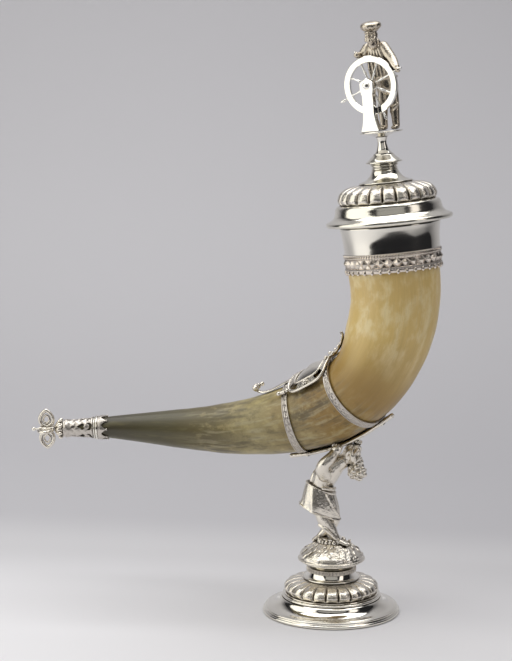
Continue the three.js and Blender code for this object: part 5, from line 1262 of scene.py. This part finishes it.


# Painted shade: the helmsman's pieces use the darker silver that paints the shade behind the wheel.
smock = [
    sailor_limb([[4.5, 9, 33, 9.4, 6.8], [3.2, 8.4, 42, 9.6, 6.6], [1.8, 7.6, 50, 10.0, 6.6],
        [0.2, 6.4, 58, 10.2, 6.2], [-0.4, 4.6, 65, 9.0, 5.8], [0, 2.6, 69.5, 5.2, 4.2]]),
]
for k in range(5):
    x = -6.2 + 3.2 * k
    smock.append(sailor_limb([[x + 1.5, 2.4, 41, 1.3, 1.2], [x + 0.8, 1.4, 50, 1.7, 1.5],
        [0.85 * x + 0.6, 0.6, 59, 1.5, 1.3], [0.5 * x + 0.6, 0.2, 66, 1.0, 0.9]], rings=14, sides=12))
belt_turns = np.linspace(0, TURN, 60, endpoint=False)
belt = np.stack([3.9 + 9.3 * np.cos(belt_turns), 8.5 + 6.6 * np.sin(belt_turns), 41.5 + 0 * belt_turns], -1)
smock.append(tube(CREW.place(belt * SAILOR_SCALE), 1.1, CREW.axes[2], loop=True))
cast("helmsman_torso", smock, 0.35, SHADED_CAST, "lid")

right_leg = [
    sailor_limb([[0, 6.4, 3.2, 3.0, 3.2], [0, 6.4, 9, 3.3, 3.4], [0.2, 6.6, 18, 4.0, 4.0],
        [1.6, 8, 33, 4.4, 5.0]]),
    sailor_limb([[0, 7, 2.2, 2.7, 2.0], [0, 4, 1.9, 2.8, 1.9], [0, 1.6, 1.6, 2.3, 1.5]]),
    sailor_limb([[-2.6, 4.6, 14, 1.3, 1.0], [1.0, 2.9, 17, 1.4, 1.0], [4.0, 4.8, 20, 1.2, 0.9]], (0, 0, 1)),
]
left_leg = [
    sailor_limb([[8.6, 10.4, 3.2, 3.0, 3.2], [8.6, 10.4, 9, 3.3, 3.4], [8.6, 10.4, 18, 4.0, 4.0],
        [8.8, 9.4, 33, 4.4, 5.0]]),
    sailor_limb([[8.6, 11, 2.2, 2.7, 2.0], [8.6, 8, 1.9, 2.8, 1.9], [8.6, 5.4, 1.6, 2.3, 1.5]]),
    sailor_limb([[6.0, 8.6, 14, 1.3, 1.0], [9.4, 6.7, 17, 1.4, 1.0], [12.4, 8.8, 20, 1.2, 0.9]], (0, 0, 1)),
]
cast("helmsman_right_leg", right_leg, 0.33, SHADED_CAST, "lid")
cast("helmsman_left_leg", left_leg, 0.33, SHADED_CAST, "lid")


def sailor_arm(shoulder, elbow, angle):
    grip = (WHEEL_MIDDLE + 26.5 * np.array([math.cos(angle), 0, math.sin(angle)])) / SAILOR_SCALE
    wrist = grip + 0.22 * (np.array(elbow[:3]) - grip)
    sleeve_stops = [shoulder, elbow, [*wrist, 2.7, 2.7]]
    parts = [sailor_limb(sleeve_stops, (0, 0.8, 0.6)), sailor_ball(grip, 2.3)]
    cuff = grip + 0.3 * (np.array(elbow[:3]) - grip)
    cuff_end = cuff * 0.9 + wrist * 0.1
    parts.append(sailor_limb([[*cuff, 2.8, 2.8], [*cuff_end, 2.8, 2.8]], (0, 0.8, 0.6), rings=4))
    return parts


right_grip, left_grip = math.radians(22 + 90), math.radians(22)
right_arm = sailor_arm([-7.6, 5, 65.4, 4.6, 4.6], [-13, 4.4, 60, 4.0, 4.0], right_grip)
cast("helmsman_right_arm", right_arm, 0.3, SHADED_CAST, "lid")
left_arm = sailor_arm([5.8, 5.4, 65.4, 4.8, 4.8], [13.6, 3.2, 55, 4.2, 4.2], left_grip)
cast("helmsman_left_arm", left_arm, 0.3, SHADED_CAST, "lid")

# %% Head and hat
sailor_head = [
    sailor_limb([[0.5, -1.4, 68, 4.2, 4.0], [0.5, -2.0, 72, 4.2, 4.2]]),
    sailor_ball([0.5, -2.0, 75.4], [5.0, 5.2, 5.4]),
    sailor_limb([[0.4, -6.8, 77.0, 0.8, 0.8], [0.4, -7.9, 75.0, 1.1, 1.0], [0.4, -7.2, 74.2, 1.1, 0.8]]),
    sailor_limb([[-3.0, -6.1, 77.5, 0.8, 0.7], [0.4, -7.0, 77.8, 0.9, 0.7],
        [3.8, -6.1, 77.5, 0.8, 0.7]], (0, 0, 1)),
    sailor_ball([-2.2, -5.8, 75.0], [1.5, 1.2, 1.3]),
    sailor_ball([3.0, -5.8, 75.0], [1.5, 1.2, 1.3]),
]
for k in range(5):
    across = -3.6 + 1.8 * k
    drop = 69.0 + 0.20 * across**2
    sailor_head.append(sailor_limb([[0.4 + across, -5.0 + 0.2 * abs(across), 73.4, 1.3, 1.2],
        [0.4 + 0.9 * across, -6.4 + 0.25 * abs(across), 71.4, 1.4, 1.3],
        [0.4 + 0.6 * across, -5.8 + 0.2 * abs(across), drop, 0.9, 0.9]], rings=10, sides=10))
cast("helmsman_head", sailor_head, 0.25, SHADED_CAST, "lid", 1)

hat_profile = bend([[0.4, 7.2], [5.0, 6.6], [7.7, 5.2], [8.4, 3.4], [7.8, 1.8], [6.2, 0.4]], 28)
hat_profile += [[5.3, -0.5], [5.1, -1.2], [4.2, -1.2], [4.2, 0.2]]


def gathered_cloth(radius, height, angle):
    under = np.clip((3.4 - height) / 2.4, 0, 1) * np.clip((radius - 4.6) / 1.5, 0, 1)
    return radius * (1 + 0.07 * under * np.cos(13 * angle)), height + 0.1 * np.cos(3 * angle)


tilt = math.radians(6)
hat_axes = np.array([[1, 0, 0], [0, math.cos(tilt), math.sin(tilt)], [0, -math.sin(tilt), math.cos(tilt)]])
hat_seat = Seat(CREW.place(np.array([0.5, -1.8, 79.4]) * SAILOR_SCALE), hat_axes @ CREW.axes)
hat_points, hat_faces = turned(np.array(hat_profile) * SAILOR_SCALE, hat_seat, 120, gathered_cloth, False)
make_piece("helmsman_hat", [(hat_points, hat_faces)], SHADED_CAST, "lid")

# %% [markdown]
# ## What the CAD already shows well
# Screws, tie rods, nuts, the plate under the foot, the bezel and the disc under the bearer stay as CAD
# nodes. They only need our finishes in place of the plain ones that came with the file.

# %% Finishes for the CAD nodes that stay
IRON_NODES = {"foot_closing_plate", "foot_tie_washer", "foot_tie_nut", "foot_tie_rod"}
IRON_NODES |= {"lid_tie_rod", "lid_tie_nut"}
kept_nodes = [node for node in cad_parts.values() if not node.hide_render]
for node in kept_nodes:
    finish = IRON if node.name in IRON_NODES else POLISHED
    for material_slot in node.material_slots:
        material_slot.link = "OBJECT"
        material_slot.material = finish
print("CAD nodes that stay:", sorted(node.name for node in kept_nodes))

# %% [markdown]
# ## Table, backdrop and light
# Silver shows its room, so the room is built with care: a pale sheet runs from in front of the foot up
# behind it, tall white panels stand at both sides, a weak wash hangs high in front, and the camera's
# side is left dark. The dark shape in the collar is that gap beyond the front edge of the sheet. The
# sheet is clear from behind.

# %% The sheet
FRONT_EDGE, BACK_BEND, BACK_RADIUS = -1.0, 0.55, 0.55


def sheet_line():
    floor = [[y, 0.0] for y in np.linspace(FRONT_EDGE, BACK_BEND, 30)]
    sweep = [[BACK_BEND + BACK_RADIUS * math.sin(a), BACK_RADIUS * (1 - math.cos(a))]
        for a in np.linspace(0.05, math.pi / 2, 24)]
    wall = [[BACK_BEND + BACK_RADIUS, z] for z in np.linspace(BACK_RADIUS + 0.05, 2.6, 16)]
    return np.array(floor + sweep + wall)


line = sheet_line()
sheet_mesh = bpy.data.meshes.new("sheet")
COLUMNS = 40
across = np.linspace(-2.2, 2.2, COLUMNS)
sheet_points = [[x, y, z] for y, z in line for x in across]
corners = [r * COLUMNS + c for r in range(len(line) - 1) for c in range(COLUMNS - 1)]
sheet_faces = [[k, k + 1, k + COLUMNS + 1, k + COLUMNS] for k in corners]
sheet_mesh.from_pydata(sheet_points, [], sheet_faces)
sheet_mesh.shade_smooth()
sheet = bpy.data.objects.new("pale_sheet", sheet_mesh)
bpy.context.scene.collection.objects.link(sheet)

PAPER, paper_shader, paper = new_material("pale paper")
paper_place = paper.node("ShaderNodeTexCoord", None, None, "Object")
paper_parts = paper.node("ShaderNodeSeparateXYZ", None, {"Vector": paper_place})
paper_x = Wire(paper.tree, paper_parts.socket.node.outputs[0])
paper_y = Wire(paper.tree, paper_parts.socket.node.outputs[1])
paper_z = Wire(paper.tree, paper_parts.socket.node.outputs[2])
# Painted light and shade: the paper's colour is lighter in front of the foot and darker behind it, painting
# how the lamps fall on an even sheet.
back = (paper_y + paper_z + 0.2) / 1.8
paper_tone = tone_ramp(paper, back, [
    (0.0, (238, 237, 240)), (0.06, (236, 235, 238)), (0.12, (228, 227, 230)), (0.20, (208, 207, 210)),
    (0.27, (193, 192, 196)), (0.45, (194, 193, 197)), (0.78, (204, 203, 207)), (1.0, (203, 202, 206))])
# Painted shade: the right side of the sheet is darkened.
right_side_painted_shade = paper_x.between(-0.45, 0.45)
(0.11 * right_side_painted_shade).mix(paper_tone, (0, 0, 0, 1)).into(paper_shader, "Base Color")
paper_shader.inputs["Roughness"].default_value = 1.0
paper_shader.inputs["Specular IOR Level"].default_value = 0.0
behind = paper.node("ShaderNodeNewGeometry", None, None, "Backfacing")
clear = paper.node("ShaderNodeBsdfTransparent")
front = Wire(paper.tree, paper_shader.outputs[0])
one_way = paper.node("ShaderNodeMixShader", None, {0: behind, 1: front, 2: clear})
one_way.into(PAPER.node_tree.nodes["Material Output"], "Surface")
sheet_mesh.materials.append(PAPER)


# %% Panels and room
def panel(name, azimuth, distance, low, high, width, power, tint):
    turn_at = math.radians(azimuth)
    place = Vector((distance * math.sin(turn_at), -distance * math.cos(turn_at), (low + high) / 2))
    light = bpy.data.lights.new(name, "AREA")
    light.shape = "RECTANGLE"
    light.size, light.size_y = width, high - low
    light.energy = power
    light.color = tint
    lamp = bpy.data.objects.new(name, light)
    lamp.location = place
    aim = Vector((0.0, 0.0, 0.22)) - place
    lamp.rotation_euler = aim.to_track_quat("-Z", "Y").to_euler()
    bpy.context.scene.collection.objects.link(lamp)


CAMERA_AZIMUTH = 9.0
panel("left panel", CAMERA_AZIMUTH - 77, 1.25, -0.05, 1.5, 1.5, 9.6, (1.0, 0.985, 0.92))
panel("right panel", CAMERA_AZIMUTH + 56, 1.3, 0.32, 1.3, 0.45, 1.7, (1.0, 0.94, 0.90))
panel("front wash", CAMERA_AZIMUTH, 2.1, 0.8, 2.2, 2.6, 4.0, (1.0, 0.98, 0.94))
top_light = bpy.data.lights.new("overhead", "AREA")
top_light.shape = "RECTANGLE"
top_light.size, top_light.size_y = 2.2, 1.7
top_light.energy = 28.5
top_lamp = bpy.data.objects.new("overhead", top_light)
top_lamp.location = (0.0, 0.1, 1.8)
bpy.context.scene.collection.objects.link(top_lamp)

room = bpy.data.worlds.new("room")
bpy.context.scene.world = room
room.use_nodes = True
room.node_tree.nodes["Background"].inputs["Color"].default_value = (0.016, 0.016, 0.018, 1)

# %% [markdown]
# ## The camera
# A long lens a little to the right of the foot's front and slightly above, as the object was
# photographed.

# %% Camera
eye = bpy.data.cameras.new("camera")
eye.sensor_fit = "VERTICAL"
eye.sensor_height = 36.0
eye.lens = 115.8
camera = bpy.data.objects.new("camera", eye)
camera.location = (0.2028, -1.6749, 0.515)
camera.rotation_euler = Vector((-0.15429, 0.97415, -0.16505)).to_track_quat("-Z", "Y").to_euler()
bpy.context.scene.collection.objects.link(camera)
bpy.context.scene.camera = camera
bpy.context.scene.view_settings.view_transform = "Standard"
